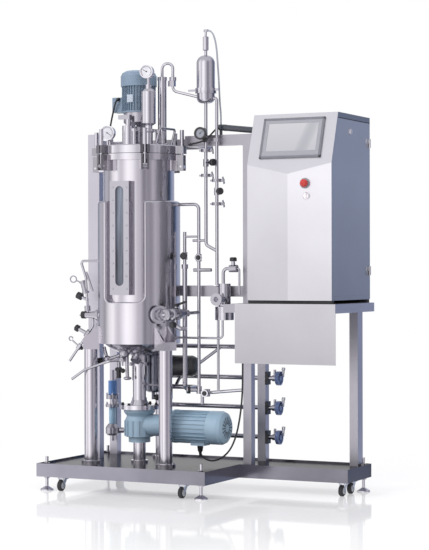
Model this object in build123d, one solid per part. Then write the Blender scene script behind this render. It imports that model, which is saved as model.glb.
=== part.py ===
from build123d import *
import os
from math import cos, pi, radians, sin, sqrt, tan

# A pilot bioreactor on a skid: a jacketed stainless vessel with a bottom-driven agitator,
# a foam breaker on its lid, a pipe rack and a control cabinet on a stand. Millimetres, +Z up.
# The origin is at floor level, below the middle of the whole machine.

os.makedirs("parts", exist_ok=True)

# ---------------------------------------------------------------- driving sizes
# Skid tray, an L seen from above
SKID_LENGTH = 1380.0
SKID_DEPTH = 630.0
DEEP_LENGTH = 854.0
SHALLOW_DEPTH = 284.0
SKID_CLEARANCE = 63.0
RAIL_HEIGHT = 60.0
RAIL_WIDTH = 70.0
TRAY_RECESS = 8.0
TRAY_SHEET = 4.0
TRAY_LIP = 5.0

# Levelling feet and casters
FOOT_INSET = 35.0
FOOT_DISC_R = 30.0
FOOT_STEM_R = 7.0
FOOT_STEM_ABOVE = 38.0
NUT_ACROSS = 24.0
NUT_HEIGHT = 9.0
CASTER_INSET = 45.0
CASTER_FROM_END = 115.0
CASTER_TRAIL = 18.0
CASTER_PLATE = 3.0
CASTER_PLATE_WIDTH = 48.0
WHEEL_R = 25.0
WHEEL_WIDTH = 20.0
FORK_SHEET = 3.0
FORK_TOP_WIDTH = 36.0
KINGPIN_R = 5.0
KINGPIN_LENGTH = 8.0
AXLE_R = 4.0

# Running clearance of shafts and pins, and the gap between faces that pass each other
RUNNING = 0.05
GAP = 0.3

# Vessel
VESSEL_X = -335.0
VESSEL_Y = -4.0
SHELL_R = 163.0
SHELL_WALL = 4.0
JACKET_R = 190.0
JACKET_BOTTOM = 663.0
JACKET_TOP = 1314.0
JACKET_SHOULDER = 14.0
NOTCH_WIDTH = 190.0
NOTCH_BOTTOM = 853.0
NOTCH_CORNER = 30.0
NOTCH_ROLL = 6.0
DISH_DEPTH = 62.0
HUB_R = 36.0
HUB_BOTTOM = 575.0
FLANGE_R = 192.0
FLANGE_THICK = 28.0
FLANGE_BOTTOM = 1497.0
LID_THICK = 38.0
GASKET = 2.0
BOLT_CIRCLE = 213.0
BOLT_COUNT = 6
BOLT_R = 7.0
BOLT_TURN = 5.7
BOLT_NUT_R = 9.5
BOLT_NUT_LENGTH = 73.0
BOLT_PIN_R = 5.0
LUG_DROP = 28.0
LUG_SPACING = 28.0
LUG_SHEET = 8.0
EAR_THICK = 36.0

# Sight glass
SIGHT_OFFSET = 11.0
SIGHT_WIDTH = 98.0
SIGHT_DEPTH = 206.0
SIGHT_BOTTOM = 886.0
SIGHT_TOP = 1399.0
SLOT_WIDTH = 42.0
SLOT_FROM_BOTTOM = 41.0
SLOT_FROM_TOP = 23.0
GLASS_THICK = 10.0
GLASS_MARGIN = 7.0
COVER_THICK = 10.0

# Vessel legs
LEG_R = 31.0
LEG_WALL = 3.0
LEG_CIRCLE = 222.0
LEG_ANGLES = (-151.0, -29.5, 90.0)
LEG_TOP = 636.0
LEG_CAP = 72.0
LEG_CAP_HEIGHT = 38.0
GUSSET_TOP = 742.0
GUSSET_SHEET = 8.0
BASE_PLATE_R = 45.0
BASE_PLATE = 10.0

# Agitator and its drive below the vessel
SHAFT_R = 11.0
SHAFT_TOP = 1330.0
IMPELLER_R = 52.0
IMPELLER_LEVELS = (760.0, 960.0, 1160.0)
BLADE_COUNT = 6
BLADE_HEIGHT = 24.0
BLADE_LENGTH = 26.0
BLADE_SHEET = 3.0
DISC_R = 38.0
DISC_SHEET = 4.0
COUPLING_R = 22.0
COUPLING_LENGTH = 60.0
LANTERN_R = 34.0
LANTERN_WALL = 4.0
LANTERN_FOOT_R = 92.0
LANTERN_FOOT = 20.0
LANTERN_CLAMP = 16.0
GEARBOX_TOP = 360.0
GEARBOX_BOTTOM = 230.0
GEARBOX_R = 66.0
GEARBOX_BOSS = 22.0
DRIVE_Z = 287.0
DRIVE_R = 76.0
DRIVE_START = -150.0
DRIVE_END = 114.0
DRIVE_COVER = 78.0
GLAND_X = -22.0
GLAND_R = 10.0
FIN_COUNT = 24
TOP_FIN_COUNT = 36
FIN_HEIGHT = 7.0
FIN_SHEET = 3.0

# Motor and foam breaker on the lid
TOP_LANTERN_TOP = 1719.0
TOP_MOTOR_R = 78.0
TOP_MOTOR_TOP = 1840.0
TERMINAL_REACH = 123.0
FAN_COVER_R = 83.0
FAN_COVER_TOP = 1911.0
BREAKER_SHAFT_R = 8.0
BREAKER_LEVEL = 1430.0
BREAKER_R = 60.0

# Lid fittings and exhaust line
PORT = (-334.0, -106.0)
PORT_R = 28.0
SMALL_PORTS = (
    (-300.0, -112.0, 9.0, 1640.0),
    (-478.0, -20.0, 9.0, 1604.0),
    (-290.0, 100.0, 16.0, 1650.0),
)
HANDLE_FRONT = (-210.0, -75.0)
HANDLE_BACK = (-192.0, 40.0)
HANDLE_LEAN = 22.0
HANDLE_TOP = 1641.0
HANDLE_R = 5.5
LID_GAUGE = (-450.0, -90.0, 1627.0)
RACK_GAUGE = (-20.0, 3.0, 1616.0)
GAUGE_THICK = 26.0
POT_X = -235.0
POT_Y = -95.0
POT_R = 33.0
POT_TOP = 1818.0
COOLER_X = -218.0
COOLER_Y = 5.0
COOLER_R = 20.0
COOLER_TOP = 1880.0
LOOP_RISE = 62.0
LOOP_WIDTH = 52.0
FILTER_R = 42.0
FILTER_SEAT = 1810.0
FILTER_TOP = 1972.0
FILTER_DOME = 40.0
FILTER_CUP = 57.0
VENT_RISE = 112.0
VENT_R = 4.0

# Frame tubes of the stand and the pipe rack
TUBE = 40.0
BEAM_HEIGHT = 48.0
RACK_TOP = 1611.0
LOWER_BEAM_TOP = 925.0
RACK_FRONT = 58.6
YOKE_RIGHT = -130.0
UPRIGHT_INSET = 56.5
UPRIGHT_RISE = 24.0
UPRIGHT_WIDTH = 60.0
TALL_COLUMN_X = 164.0
REAR_COLUMN_X = 137.0
RIGHT_COLUMN_X = 602.0
RIGHT_COLUMN_DEPTH = 60.0

# Shelf under the cabinet
SHELF_FRONT = -147.0
SHELF_TOP = 850.0
SHELF_HEIGHT = 40.0
SHELF_SHEET = 3.0
SHELF_OVERHANG = 17.0
APRON_LEFT = 222.0
APRON_BOTTOM = 588.0
APRON_SHEET = 3.0

# Control cabinet
CABINET_LEFT = 280.0
CABINET_RIGHT = 679.0
CABINET_FRONT = -142.0
CABINET_BACK = 308.0
CABINET_BOTTOM = 865.0
CABINET_FOLD = 1457.7
CABINET_TOP = 1681.0
CABINET_TOP_FRONT = -66.6
PROW = 15.0
CABINET_SHEET = 2.5
DOOR_THICK = 14.0
DOOR_MARGIN = 18.0
DOOR_TOP_BAND = 26.0
DOOR_REST = 14.0
JAMB = 4.0
HINGE_R = 5.0
HINGE_PIN_R = 2.5
HINGE_LENGTH = 20.0
PANEL_WIDTH = 289.0
PANEL_HEIGHT = 187.0
PANEL_DEPTH = 34.0
PANEL_PROUD = 6.0
PANEL_MID_Z = 1571.0
SCREEN_WIDTH = 236.0
SCREEN_HEIGHT = 130.0
ESTOP_X = 559.0
ESTOP_Z = 1371.0
ESTOP_R = 17.0
ESTOP_STEM_R = 8.0
ESTOP_TRAVEL = 5.0
SELECTOR_X = 565.5
SELECTOR_Z = 1316.0
SELECTOR_R = 12.0
SELECTOR_STEM_R = 5.0
LOCK_Y = 78.0
LOCK_Z = 1604.0
LOCK_R = 12.0
LOCK_BARREL_R = 9.0
LOCK_REACH = 44.0
CABINET_RAIL_WIDTH = 30.0

# Pipework
PIPE_Y = 35.0
PIPE_R = 7.5
WIDE_PIPE_R = 11.0
THIN_PIPE_R = 5.0
CLAMP_R = 22.5
CLAMP_THICK = 14.0
KNOB_R = 16.0
KNOB_THICK = 18.0
SPINDLE_R = 4.0
KNUCKLE_HALF = 13.0
AIR_PIPE_X = -10.0
FILTER_PIPE_X = 45.0
RETURN_PIPE_X = -47.0
SUPPLY_PIPE_X = -119.0
RETURN_LOW = 436.0
SEPARATOR_X = 86.0
SEPARATOR_Y = 28.0
SEPARATOR_TOP = 936.0
SMALL_VALVE_X = 130.0
PUMP_Y = 162.0
PUMP_Z = 552.0
PUMP_R = 49.0
PUMP_START = -262.0
PUMP_END = -121.0
PUMP_HEAD_R = 36.0
DRAIN_LEVELS = (498.0, 361.0, 226.0)
DRAIN_START = -330.0
DRAIN_END = 226.0
DRAIN_HEADER_TOP = 640.0
HANDWHEEL_R = 32.5
HANDWHEEL_THICK = 16.0
SIDE_PORT_Y = -40.0
PROBE_RING_R = 41.0
LEVER_X = -372.0
LEVER_Y = -70.0
LEVER_Z = 588.0

# ---------------------------------------------------------------- derived places
LEFT = -(SKID_LENGTH + SHELF_OVERHANG) / 2
RIGHT = LEFT + SKID_LENGTH
FRONT = -SKID_DEPTH / 2
BACK = SKID_DEPTH / 2
STEP_X = LEFT + DEEP_LENGTH
STEP_Y = BACK - SHALLOW_DEPTH
RAIL_TOP = SKID_CLEARANCE + RAIL_HEIGHT
TRAY_FLOOR = RAIL_TOP - TRAY_RECESS
NUT_CORNER_R = NUT_ACROSS / 2 / cos(radians(30))
FLANGE_TOP = FLANGE_BOTTOM + FLANGE_THICK
LID_BOTTOM = FLANGE_TOP + GASKET
LID_TOP = LID_BOTTOM + LID_THICK
SHELF_LEFT = TALL_COLUMN_X
SHELF_RIGHT = RIGHT + SHELF_OVERHANG
SHELF_UNDER = SHELF_TOP - SHELF_HEIGHT
REAR_TUBE_Y = BACK - TRAY_LIP - TUBE
YOKE_Y = REAR_TUBE_Y - TUBE
CORNER_COLUMN_X = LEFT + FOOT_INSET + NUT_CORNER_R + 2
DRAIN_Y = BACK - HANDWHEEL_R - 0.5
UPRIGHT_X = LEFT + UPRIGHT_INSET
UPRIGHT_TOP = RACK_TOP + UPRIGHT_RISE
SIGHT_X = VESSEL_X + SIGHT_OFFSET
SLOT_BOTTOM = SIGHT_BOTTOM + SLOT_FROM_BOTTOM
SLOT_TOP = SIGHT_TOP - SLOT_FROM_TOP
VENT_TOP = FILTER_TOP + VENT_RISE
CABINET_MIDDLE = (CABINET_LEFT + CABINET_RIGHT) / 2
SLANT = (CABINET_TOP_FRONT - CABINET_FRONT) / (CABINET_TOP - CABINET_FOLD)
DOOR_LOW = CABINET_BOTTOM + DOOR_MARGIN
DOOR_HIGH = CABINET_TOP - DOOR_TOP_BAND
DOOR_BACK = CABINET_BACK - DOOR_MARGIN
HINGE_X = CABINET_RIGHT + HINGE_R + GAP
HINGE_Y = DOOR_BACK + 3
HINGE_LEVELS = (DOOR_LOW + 90, DOOR_HIGH - 110)
FORK_TOP = SKID_CLEARANCE - CASTER_PLATE - GAP
FORK_UNDER = SKID_CLEARANCE - CASTER_PLATE - KINGPIN_LENGTH
GLAND_Z = DRIVE_Z - DRIVE_R - 26
KNUCKLE = (45.0, RACK_FRONT + TUBE / 2, RACK_TOP + 35)


FEET = (
    (LEFT + FOOT_INSET, FRONT + FOOT_INSET),
    (STEP_X - FOOT_INSET, FRONT + FOOT_INSET),
    (RIGHT_COLUMN_X + TUBE + NUT_CORNER_R + 1, BACK - FOOT_INSET),
    (LEFT + FOOT_INSET, BACK - FOOT_INSET),
)
CASTERS = (
    (LEFT + CASTER_FROM_END, FRONT + CASTER_INSET),
    (STEP_X - CASTER_FROM_END - 10, FRONT + CASTER_INSET),
    (RIGHT - CASTER_INSET, STEP_Y + CASTER_INSET + CASTER_TRAIL),
    (RIGHT - CASTER_INSET, BACK - CASTER_FROM_END - 5),
    (LEFT + CASTER_FROM_END, BACK - CASTER_INSET),
)


# ---------------------------------------------------------------- shared shapes
def block(low, high):
    """A box between two opposite corners."""
    size = [b - a for a, b in zip(low, high)]
    middle = [(a + b) / 2 for a, b in zip(low, high)]
    return Pos(*middle) * Box(*size)


def aimed(start, end):
    """A plane at start whose normal points at end."""
    return Plane(origin=Vector(*start), z_dir=Vector(*end) - Vector(*start))


def rod(start, end, radius):
    """A round bar between two points."""
    length = (Vector(*end) - Vector(*start)).length
    return extrude(aimed(start, end) * Circle(radius), length)


def sleeve(start, end, outer, inner):
    """A tube between two points."""
    length = (Vector(*end) - Vector(*start)).length
    return extrude(aimed(start, end) * (Circle(outer) - Circle(inner)), length)


def prism(points, direction, length):
    """A flat outline drawn through 3-D points and pulled along a direction."""
    return extrude(make_face(Polyline(*points, close=True)), length, dir=direction)


def turned(points, x=0.0, y=0.0):
    """A body turned about a vertical axis, from (radius, height) points."""
    outline = Polyline(*[(r, 0, z) for r, z in points], close=True)
    return Pos(x, y, 0) * revolve(make_face(outline), Axis.Z)


def bent_pipe(points, radius, bend):
    """A pipe of straight runs joined by arcs of one bend radius."""
    path = FilletPolyline(*points, radius=bend)
    return sweep(Plane(origin=path @ 0, z_dir=path % 0) * Circle(radius), path=path)


def lead(name, points, radius):
    """A held lead: straight runs joined by the widest arcs that its runs allow."""
    spots = [Vector(*p) for p in points]
    runs = [b - a for a, b in zip(spots, spots[1:])]
    bends = []
    for before, after in zip(runs, runs[1:]):
        half_turn = radians(before.get_angle(after)) / 2
        bends.append(0.45 * min(before.length, after.length) / tan(half_turn))
    path = FilletPolyline(*points, radius=bends)
    tube = sweep(Plane(origin=path @ 0, z_dir=path % 0) * Circle(radius), path=path)
    share = tube.volume / (pi * radius ** 2 * path.length)
    print(name, "radii", [round(b) for b in bends], "length", round(path.length), "volume", round(share, 3))
    return tube


def around(count, x, y, start=0.0):
    """Evenly spaced turns about a vertical axis."""
    return [Pos(x, y, 0) * Rot(0, 0, start + 360.0 * i / count) for i in range(count)]


def bolt_spots():
    """The turned places of the lid's swing bolts."""
    return around(BOLT_COUNT, VESSEL_X, VESSEL_Y, BOLT_TURN)


def toward(angle, distance, x=VESSEL_X, y=VESSEL_Y):
    """The point at an angle from +X and a distance from the vessel's axis."""
    return x + distance * cos(radians(angle)), y + distance * sin(radians(angle))


def level_aim(angle):
    """A level direction at an angle from +X towards +Y."""
    return Vector(cos(radians(angle)), sin(radians(angle)), 0)


def save(name, *pieces):
    """Writes a named piece, or a group of like pieces, as one file."""
    solids = [solid for piece in pieces for solid in piece.solids()]
    whole = solids[0] if len(solids) == 1 else Compound(solids)
    whole.label = name
    export_step(whole, f"parts/{name}.step")


# ---------------------------------------------------------------- skid
def l_outline(inset):
    """The skid's L shape, drawn in by an even inset."""
    return (
        (LEFT + inset, FRONT + inset, 0),
        (STEP_X - inset, FRONT + inset, 0),
        (STEP_X - inset, STEP_Y + inset, 0),
        (RIGHT - inset, STEP_Y + inset, 0),
        (RIGHT - inset, BACK - inset, 0),
        (LEFT + inset, BACK - inset, 0),
    )


def skid_frame():
    """Rails, tray and the casters' top plates with their kingpins."""
    skid = Pos(0, 0, SKID_CLEARANCE) * prism(l_outline(0), (0, 0, 1), RAIL_HEIGHT)
    skid -= Pos(0, 0, TRAY_FLOOR) * prism(l_outline(TRAY_LIP), (0, 0, 1), TRAY_RECESS)
    pocket_top = TRAY_FLOOR - TRAY_SHEET
    skid -= block(
        (LEFT + RAIL_WIDTH, FRONT + RAIL_WIDTH, SKID_CLEARANCE),
        (STEP_X - RAIL_WIDTH, BACK - RAIL_WIDTH, pocket_top),
    )
    skid -= block(
        (STEP_X, STEP_Y + RAIL_WIDTH, SKID_CLEARANCE),
        (RIGHT - RAIL_WIDTH, BACK - RAIL_WIDTH, pocket_top),
    )
    for x, y in FEET:
        skid -= rod((x, y, SKID_CLEARANCE), (x, y, TRAY_FLOOR), FOOT_STEM_R + GAP)
    half = CASTER_PLATE_WIDTH / 2
    plate_low = SKID_CLEARANCE - CASTER_PLATE
    for x, y in CASTERS:
        skid += block((x - half, y - half, plate_low), (x + half, y + half, SKID_CLEARANCE))
        skid += rod((x, y, FORK_UNDER), (x, y, plate_low), KINGPIN_R)
    return skid


def levelling_foot(x, y):
    """A disc foot on a threaded stem, with a nut under and over the rail."""
    stem_top = TRAY_FLOOR + FOOT_STEM_ABOVE
    foot = turned(
        (
            (0, 0), (FOOT_DISC_R, 0), (FOOT_DISC_R, 5), (FOOT_STEM_R, 18), (FOOT_STEM_R, stem_top), (0, stem_top),
        ),
        x, y,
    )
    for level in (SKID_CLEARANCE - NUT_HEIGHT, TRAY_FLOOR):
        nut = RegularPolygon(NUT_ACROSS / 2, 6, major_radius=False)
        foot += Pos(x, y, level) * extrude(nut, NUT_HEIGHT)
    return foot


def caster_fork(x, y):
    """The swivelling fork with the wheel's axle."""
    wheel_y = y - CASTER_TRAIL
    half_top = FORK_TOP_WIDTH / 2
    half = WHEEL_WIDTH / 2 + GAP
    fork = block((x - half_top, y - half_top, FORK_UNDER), (x + half_top, y + half_top, FORK_TOP))
    for inner in (x - half - FORK_SHEET, x + half):
        cheek = (
            (inner, wheel_y - 7, WHEEL_R - 3), (inner, wheel_y, WHEEL_R - 8), (inner, wheel_y + 7, WHEEL_R - 3),
            (inner, y + half_top, FORK_TOP), (inner, y - half_top, FORK_TOP),
        )
        fork += prism(cheek, (1, 0, 0), FORK_SHEET)
    reach = half + FORK_SHEET + 2
    fork += rod((x - reach, wheel_y, WHEEL_R), (x + reach, wheel_y, WHEEL_R), AXLE_R)
    return fork - rod((x, y, FORK_UNDER), (x, y, FORK_TOP), KINGPIN_R + RUNNING)


def caster_wheel(x, y):
    """A wheel that runs on the fork's axle."""
    half, bore, shoulder = WHEEL_WIDTH / 2, AXLE_R + RUNNING, WHEEL_R - 4
    profile = ((bore, -half), (shoulder, -half), (WHEEL_R, 4 - half), (WHEEL_R, half - 4), (shoulder, half), (bore, half))
    return Pos(x, y - CASTER_TRAIL, WHEEL_R) * Rot(0, 90, 0) * turned(profile)


# ---------------------------------------------------------------- stand and pipe rack
def column(x, y, width, depth, low, high):
    """An upright frame tube with closed ends."""
    return block((x, y, low), (x + width, y + depth, high))


def cabinet_stand():
    """Columns, shelf frame and shelf plate, welded into one."""
    rear_edge = REAR_TUBE_Y + TUBE
    under_plate = SHELF_TOP - SHELF_SHEET
    inner_left = TALL_COLUMN_X + TUBE
    stand = column(TALL_COLUMN_X, RACK_FRONT, TUBE, TUBE, TRAY_FLOOR, RACK_TOP)
    stand += column(REAR_COLUMN_X, REAR_TUBE_Y, TUBE, TUBE, TRAY_FLOOR, RACK_TOP)
    right_y = rear_edge - RIGHT_COLUMN_DEPTH
    stand += column(RIGHT_COLUMN_X, right_y, TUBE, RIGHT_COLUMN_DEPTH, TRAY_FLOOR, SHELF_UNDER)
    stand += block((SHELF_LEFT, SHELF_FRONT, SHELF_UNDER), (SHELF_RIGHT, SHELF_FRONT + TUBE, under_plate))
    stand += block((REAR_COLUMN_X + TUBE, REAR_TUBE_Y, SHELF_UNDER), (SHELF_RIGHT, rear_edge, under_plate))
    for x in (inner_left, SHELF_RIGHT - TUBE):
        stand += block((x, SHELF_FRONT, SHELF_UNDER), (x + TUBE, rear_edge, under_plate))
    stand += block((inner_left, SHELF_FRONT, under_plate), (SHELF_RIGHT, rear_edge, SHELF_TOP))
    for top in (RACK_TOP, LOWER_BEAM_TOP):
        low_corner = (REAR_COLUMN_X, RACK_FRONT + TUBE, top - BEAM_HEIGHT)
        stand += block(low_corner, (REAR_COLUMN_X + TUBE, REAR_TUBE_Y, top))
    for level in DRAIN_LEVELS:
        start = (REAR_COLUMN_X, DRAIN_Y, level)
        stand -= rod(start, (REAR_COLUMN_X + TUBE, DRAIN_Y, level), WIDE_PIPE_R)
    return stand


def shelf_apron():
    """The plate that hangs in front of the shelf's front rail."""
    low = (APRON_LEFT, SHELF_FRONT - APRON_SHEET, APRON_BOTTOM)
    return block(low, (SHELF_RIGHT, SHELF_FRONT, SHELF_TOP))


def pipe_rack():
    """The wide left upright, the corner column and two yokes that pass behind the vessel."""
    yoke_back = YOKE_Y + TUBE
    rack = column(UPRIGHT_X, RACK_FRONT, UPRIGHT_WIDTH, TUBE, TRAY_FLOOR, UPRIGHT_TOP)
    rack += column(CORNER_COLUMN_X, REAR_TUBE_Y, TUBE, TUBE, TRAY_FLOOR, RACK_TOP)
    for top in (RACK_TOP, LOWER_BEAM_TOP):
        low = top - BEAM_HEIGHT
        rack += block((YOKE_RIGHT, RACK_FRONT, low), (TALL_COLUMN_X, RACK_FRONT + TUBE, top))
        rack += block((YOKE_RIGHT, RACK_FRONT, low), (YOKE_RIGHT + TUBE, yoke_back, top))
        rack += block((UPRIGHT_X, YOKE_Y, low), (YOKE_RIGHT + TUBE, yoke_back, top))
        rack += block((UPRIGHT_X, RACK_FRONT, low), (UPRIGHT_X + TUBE, yoke_back, top))
    return rack


# ---------------------------------------------------------------- vessel
def dish_height(radius, top, r):
    """The height of a dished end at a distance r from its axis, for a rim of radius at top."""
    sphere_r = (radius ** 2 + DISH_DEPTH ** 2) / (2 * DISH_DEPTH)
    return top + sphere_r - DISH_DEPTH - sqrt(sphere_r ** 2 - r ** 2)


def dish_arc(radius, top, end_r):
    """A dished end's section: an arc from the rim in to end_r, and the height it ends at."""
    middle, end = (radius + end_r) / 2, dish_height(radius, top, end_r)
    return ThreePointArc((radius, 0, top), (middle, 0, dish_height(radius, top, middle)), (end_r, 0, end)), end


def slot_prism(width, bottom, top, near, far):
    """A round-ended upright slot, cut from near to far along Y."""
    face = Pos(SIGHT_X, far, (bottom + top) / 2) * Rot(90, 0, 0) * SlotOverall(top - bottom, width, rotation=90)
    return extrude(face, far - near)


def sight_frame_block():
    """The block welded to the shell that carries the sight glass."""
    half = SIGHT_WIDTH / 2
    seat_y = VESSEL_Y - SIGHT_DEPTH + COVER_THICK
    frame = block((SIGHT_X - half, seat_y, SIGHT_BOTTOM), (SIGHT_X + half, VESSEL_Y, SIGHT_TOP))
    return frame - rod((VESSEL_X, VESSEL_Y, SIGHT_BOTTOM), (VESSEL_X, VESSEL_Y, SIGHT_TOP), SHELL_R - SHELL_WALL)


def vessel_shell():
    """The shell with its dished end, shaft hub, body flange, bolt lugs and sight glass frame."""
    bore, inner_r = SHAFT_R + RUNNING, SHELL_R - SHELL_WALL
    outer_arc, outer_z = dish_arc(SHELL_R, JACKET_BOTTOM, HUB_R)
    inner_arc, inner_z = dish_arc(inner_r, JACKET_BOTTOM + SHELL_WALL, bore)
    section = Polyline(
        (SHELL_R, 0, JACKET_BOTTOM), (SHELL_R, 0, FLANGE_BOTTOM), (FLANGE_R, 0, FLANGE_BOTTOM),
        (FLANGE_R, 0, FLANGE_TOP), (inner_r, 0, FLANGE_TOP), (inner_r, 0, JACKET_BOTTOM + SHELL_WALL),
    )
    neck = Polyline((HUB_R, 0, outer_z), (HUB_R, 0, HUB_BOTTOM), (bore, 0, HUB_BOTTOM), (bore, 0, inner_z))
    shell = Pos(VESSEL_X, VESSEL_Y, 0) * revolve(make_face([section, inner_arc, neck, outer_arc]), Axis.Z)
    shell += [sight_frame_block(), harvest_valve()]
    seat_y = VESSEL_Y - SIGHT_DEPTH + COVER_THICK
    shell -= slot_prism(SLOT_WIDTH, SLOT_BOTTOM, SLOT_TOP, seat_y, VESSEL_Y - SHELL_R / 2)
    grow = GLASS_MARGIN + GAP
    shell -= slot_prism(SLOT_WIDTH + 2 * grow, SLOT_BOTTOM - grow, SLOT_TOP + grow, seat_y, seat_y + GLASS_THICK)
    pin_z = FLANGE_BOTTOM - LUG_DROP
    for spot in bolt_spots():
        for side in (-1, 1):
            middle = side * LUG_SPACING / 2
            low = (SHELL_R - 2, middle - LUG_SHEET / 2, pin_z - 18)
            shell += spot * block(low, (BOLT_CIRCLE + 12, middle + LUG_SHEET / 2, FLANGE_TOP - 3))
        half = LUG_SPACING / 2 + LUG_SHEET / 2
        shell -= spot * rod((BOLT_CIRCLE, -half, pin_z), (BOLT_CIRCLE, half, pin_z), BOLT_PIN_R + RUNNING)
    return shell


def on_notch_rim(edge):
    """Whether an edge lies on the jacket's outer face at its front opening."""
    middle = edge @ 0.5
    distance = (Vector(middle.X, middle.Y, 0) - Vector(VESSEL_X, VESSEL_Y, 0)).length
    beside = abs(middle.X - SIGHT_X) < NOTCH_WIDTH / 2 + GAP and middle.Y < VESSEL_Y
    return beside and abs(distance - JACKET_R) < GAP and middle.Z < JACKET_TOP - JACKET_SHOULDER - 1


def vessel_jacket():
    """The steam jacket: a closed ring round the shell, open in front for the sight glass."""
    r, shoulder = JACKET_R, JACKET_SHOULDER
    side = Polyline(
        (r - shoulder, 0, JACKET_TOP), (SHELL_R, 0, JACKET_TOP), (SHELL_R, 0, JACKET_BOTTOM), (r, 0, JACKET_BOTTOM),
        (r, 0, JACKET_TOP - shoulder),
    )
    slope = shoulder * sqrt(0.5)
    top_edge = ThreePointArc(
        (r, 0, JACKET_TOP - shoulder), (r - shoulder + slope, 0, JACKET_TOP - shoulder + slope),
        (r - shoulder, 0, JACKET_TOP),
    )
    jacket = Pos(VESSEL_X, VESSEL_Y, 0) * revolve(make_face([side, top_edge]), Axis.Z)
    height = JACKET_TOP - NOTCH_BOTTOM + 2 * NOTCH_CORNER
    opening = RectangleRounded(NOTCH_WIDTH, height, NOTCH_CORNER)
    face = Pos(SIGHT_X, VESSEL_Y, NOTCH_BOTTOM + height / 2) * Rot(90, 0, 0) * opening
    jacket -= extrude(face, r + 10)
    rim = [edge for edge in jacket.edges() if on_notch_rim(edge)]
    return fillet(rim, NOTCH_ROLL)


def sight_glass_cover():
    """The bolted plate that holds the glass in its pocket."""
    half = SIGHT_WIDTH / 2
    face_y = VESSEL_Y - SIGHT_DEPTH
    seat_y = face_y + COVER_THICK
    cover = block((SIGHT_X - half, face_y, SIGHT_BOTTOM), (SIGHT_X + half, seat_y, SIGHT_TOP))
    return cover - slot_prism(SLOT_WIDTH, SLOT_BOTTOM, SLOT_TOP, face_y, seat_y)


def sight_glass():
    """The glass that the cover holds in the frame's pocket."""
    seat_y = VESSEL_Y - SIGHT_DEPTH + COVER_THICK
    grow = GLASS_MARGIN
    return slot_prism(SLOT_WIDTH + 2 * grow, SLOT_BOTTOM - grow, SLOT_TOP + grow, seat_y, seat_y + GLASS_THICK)


def leg(angle):
    """A tube leg with its base plate, top cap and the gussets up to the jacket."""
    x, y = toward(angle, LEG_CIRCLE)
    base_top = TRAY_FLOOR + BASE_PLATE
    post = sleeve((x, y, base_top), (x, y, LEG_TOP), LEG_R, LEG_R - LEG_WALL)
    post += rod((x, y, TRAY_FLOOR), (x, y, base_top), BASE_PLATE_R)
    half, cap_top = LEG_CAP / 2, LEG_TOP + LEG_CAP_HEIGHT
    cap = block((LEG_CIRCLE - half, -half, LEG_TOP), (LEG_CIRCLE + half, half, cap_top))
    for near in (-half, half - GUSSET_SHEET):
        web = (
            (JACKET_R - 12, near, cap_top), (LEG_CIRCLE + half, near, cap_top), (LEG_CIRCLE + half, near, cap_top + 8),
            (JACKET_R + 4, near, GUSSET_TOP), (JACKET_R - 12, near, GUSSET_TOP),
        )
        cap += prism(web, (0, 1, 0), GUSSET_SHEET)
    cap -= rod((0, 0, LEG_TOP), (0, 0, GUSSET_TOP), JACKET_R)
    return post + Pos(VESSEL_X, VESSEL_Y, 0) * Rot(0, 0, angle) * cap


def gearbox_post():
    """The short post under the gearbox."""
    base_top = TRAY_FLOOR + BASE_PLATE
    top = GEARBOX_BOTTOM - GEARBOX_BOSS
    foot_r, post_r = BASE_PLATE_R - 6, LEG_R - 2
    profile = ((0, TRAY_FLOOR), (foot_r, TRAY_FLOOR), (foot_r, base_top), (post_r, base_top), (post_r, top), (0, top))
    return turned(profile, VESSEL_X, VESSEL_Y)


def vessel_lid():
    """The lid with its slotted ears, welded ports and lifting handle."""
    bore = BREAKER_SHAFT_R + RUNNING
    lid = turned(
        (
            (bore, LID_BOTTOM), (FLANGE_R, LID_BOTTOM), (FLANGE_R, LID_TOP - 4), (FLANGE_R - 4, LID_TOP), (bore, LID_TOP),
        ),
        VESSEL_X, VESSEL_Y,
    )
    ear_top = LID_BOTTOM + EAR_THICK
    for spot in bolt_spots():
        lid += spot * block((FLANGE_R - 6, -22, LID_BOTTOM), (BOLT_CIRCLE + 14, 22, ear_top))
        slot = BOLT_R + 1
        lid -= spot * block((BOLT_CIRCLE - slot, -slot, LID_BOTTOM), (BOLT_CIRCLE + 14, slot, ear_top))
    port_x, port_y = PORT
    lid += turned(((0, LID_TOP), (PORT_R, LID_TOP), (PORT_R, 1654), (12, 1656), (12, 1690), (0, 1690)), port_x, port_y)
    lid += block((port_x - 46, port_y - 12, 1684), (port_x + 12, port_y + 12, 1704))
    for x, y, radius, top in SMALL_PORTS:
        rim = radius + 6
        lid += turned(((0, LID_TOP), (radius, LID_TOP), (radius, top - 12), (rim, top - 12), (rim, top), (0, top)), x, y)
    (front_x, front_y), (back_x, back_y) = HANDLE_FRONT, HANDLE_BACK
    path = (
        (front_x, front_y, LID_TOP - 4), (front_x + HANDLE_LEAN, front_y, HANDLE_TOP),
        (back_x + HANDLE_LEAN, back_y, HANDLE_TOP), (back_x, back_y, LID_TOP - 4),
    )
    return lid + bent_pipe(path, HANDLE_R, 12)


def swing_bolt():
    """An eye bolt on its pivot pin, with its long round nut, at angle zero."""
    pin_z = FLANGE_BOTTOM - LUG_DROP
    seat = LID_BOTTOM + EAR_THICK
    half_pin = LUG_SPACING / 2 + LUG_SHEET / 2
    eye = LUG_SPACING / 2 - LUG_SHEET / 2 - GAP
    bolt = rod((BOLT_CIRCLE, 0, pin_z), (BOLT_CIRCLE, 0, seat), BOLT_R)
    bolt += rod((BOLT_CIRCLE, -eye, pin_z), (BOLT_CIRCLE, eye, pin_z), 12)
    bolt += rod((BOLT_CIRCLE, -half_pin, pin_z), (BOLT_CIRCLE, half_pin, pin_z), BOLT_PIN_R)
    return bolt + rod((BOLT_CIRCLE, 0, seat), (BOLT_CIRCLE, 0, seat + BOLT_NUT_LENGTH), BOLT_NUT_R)


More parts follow.
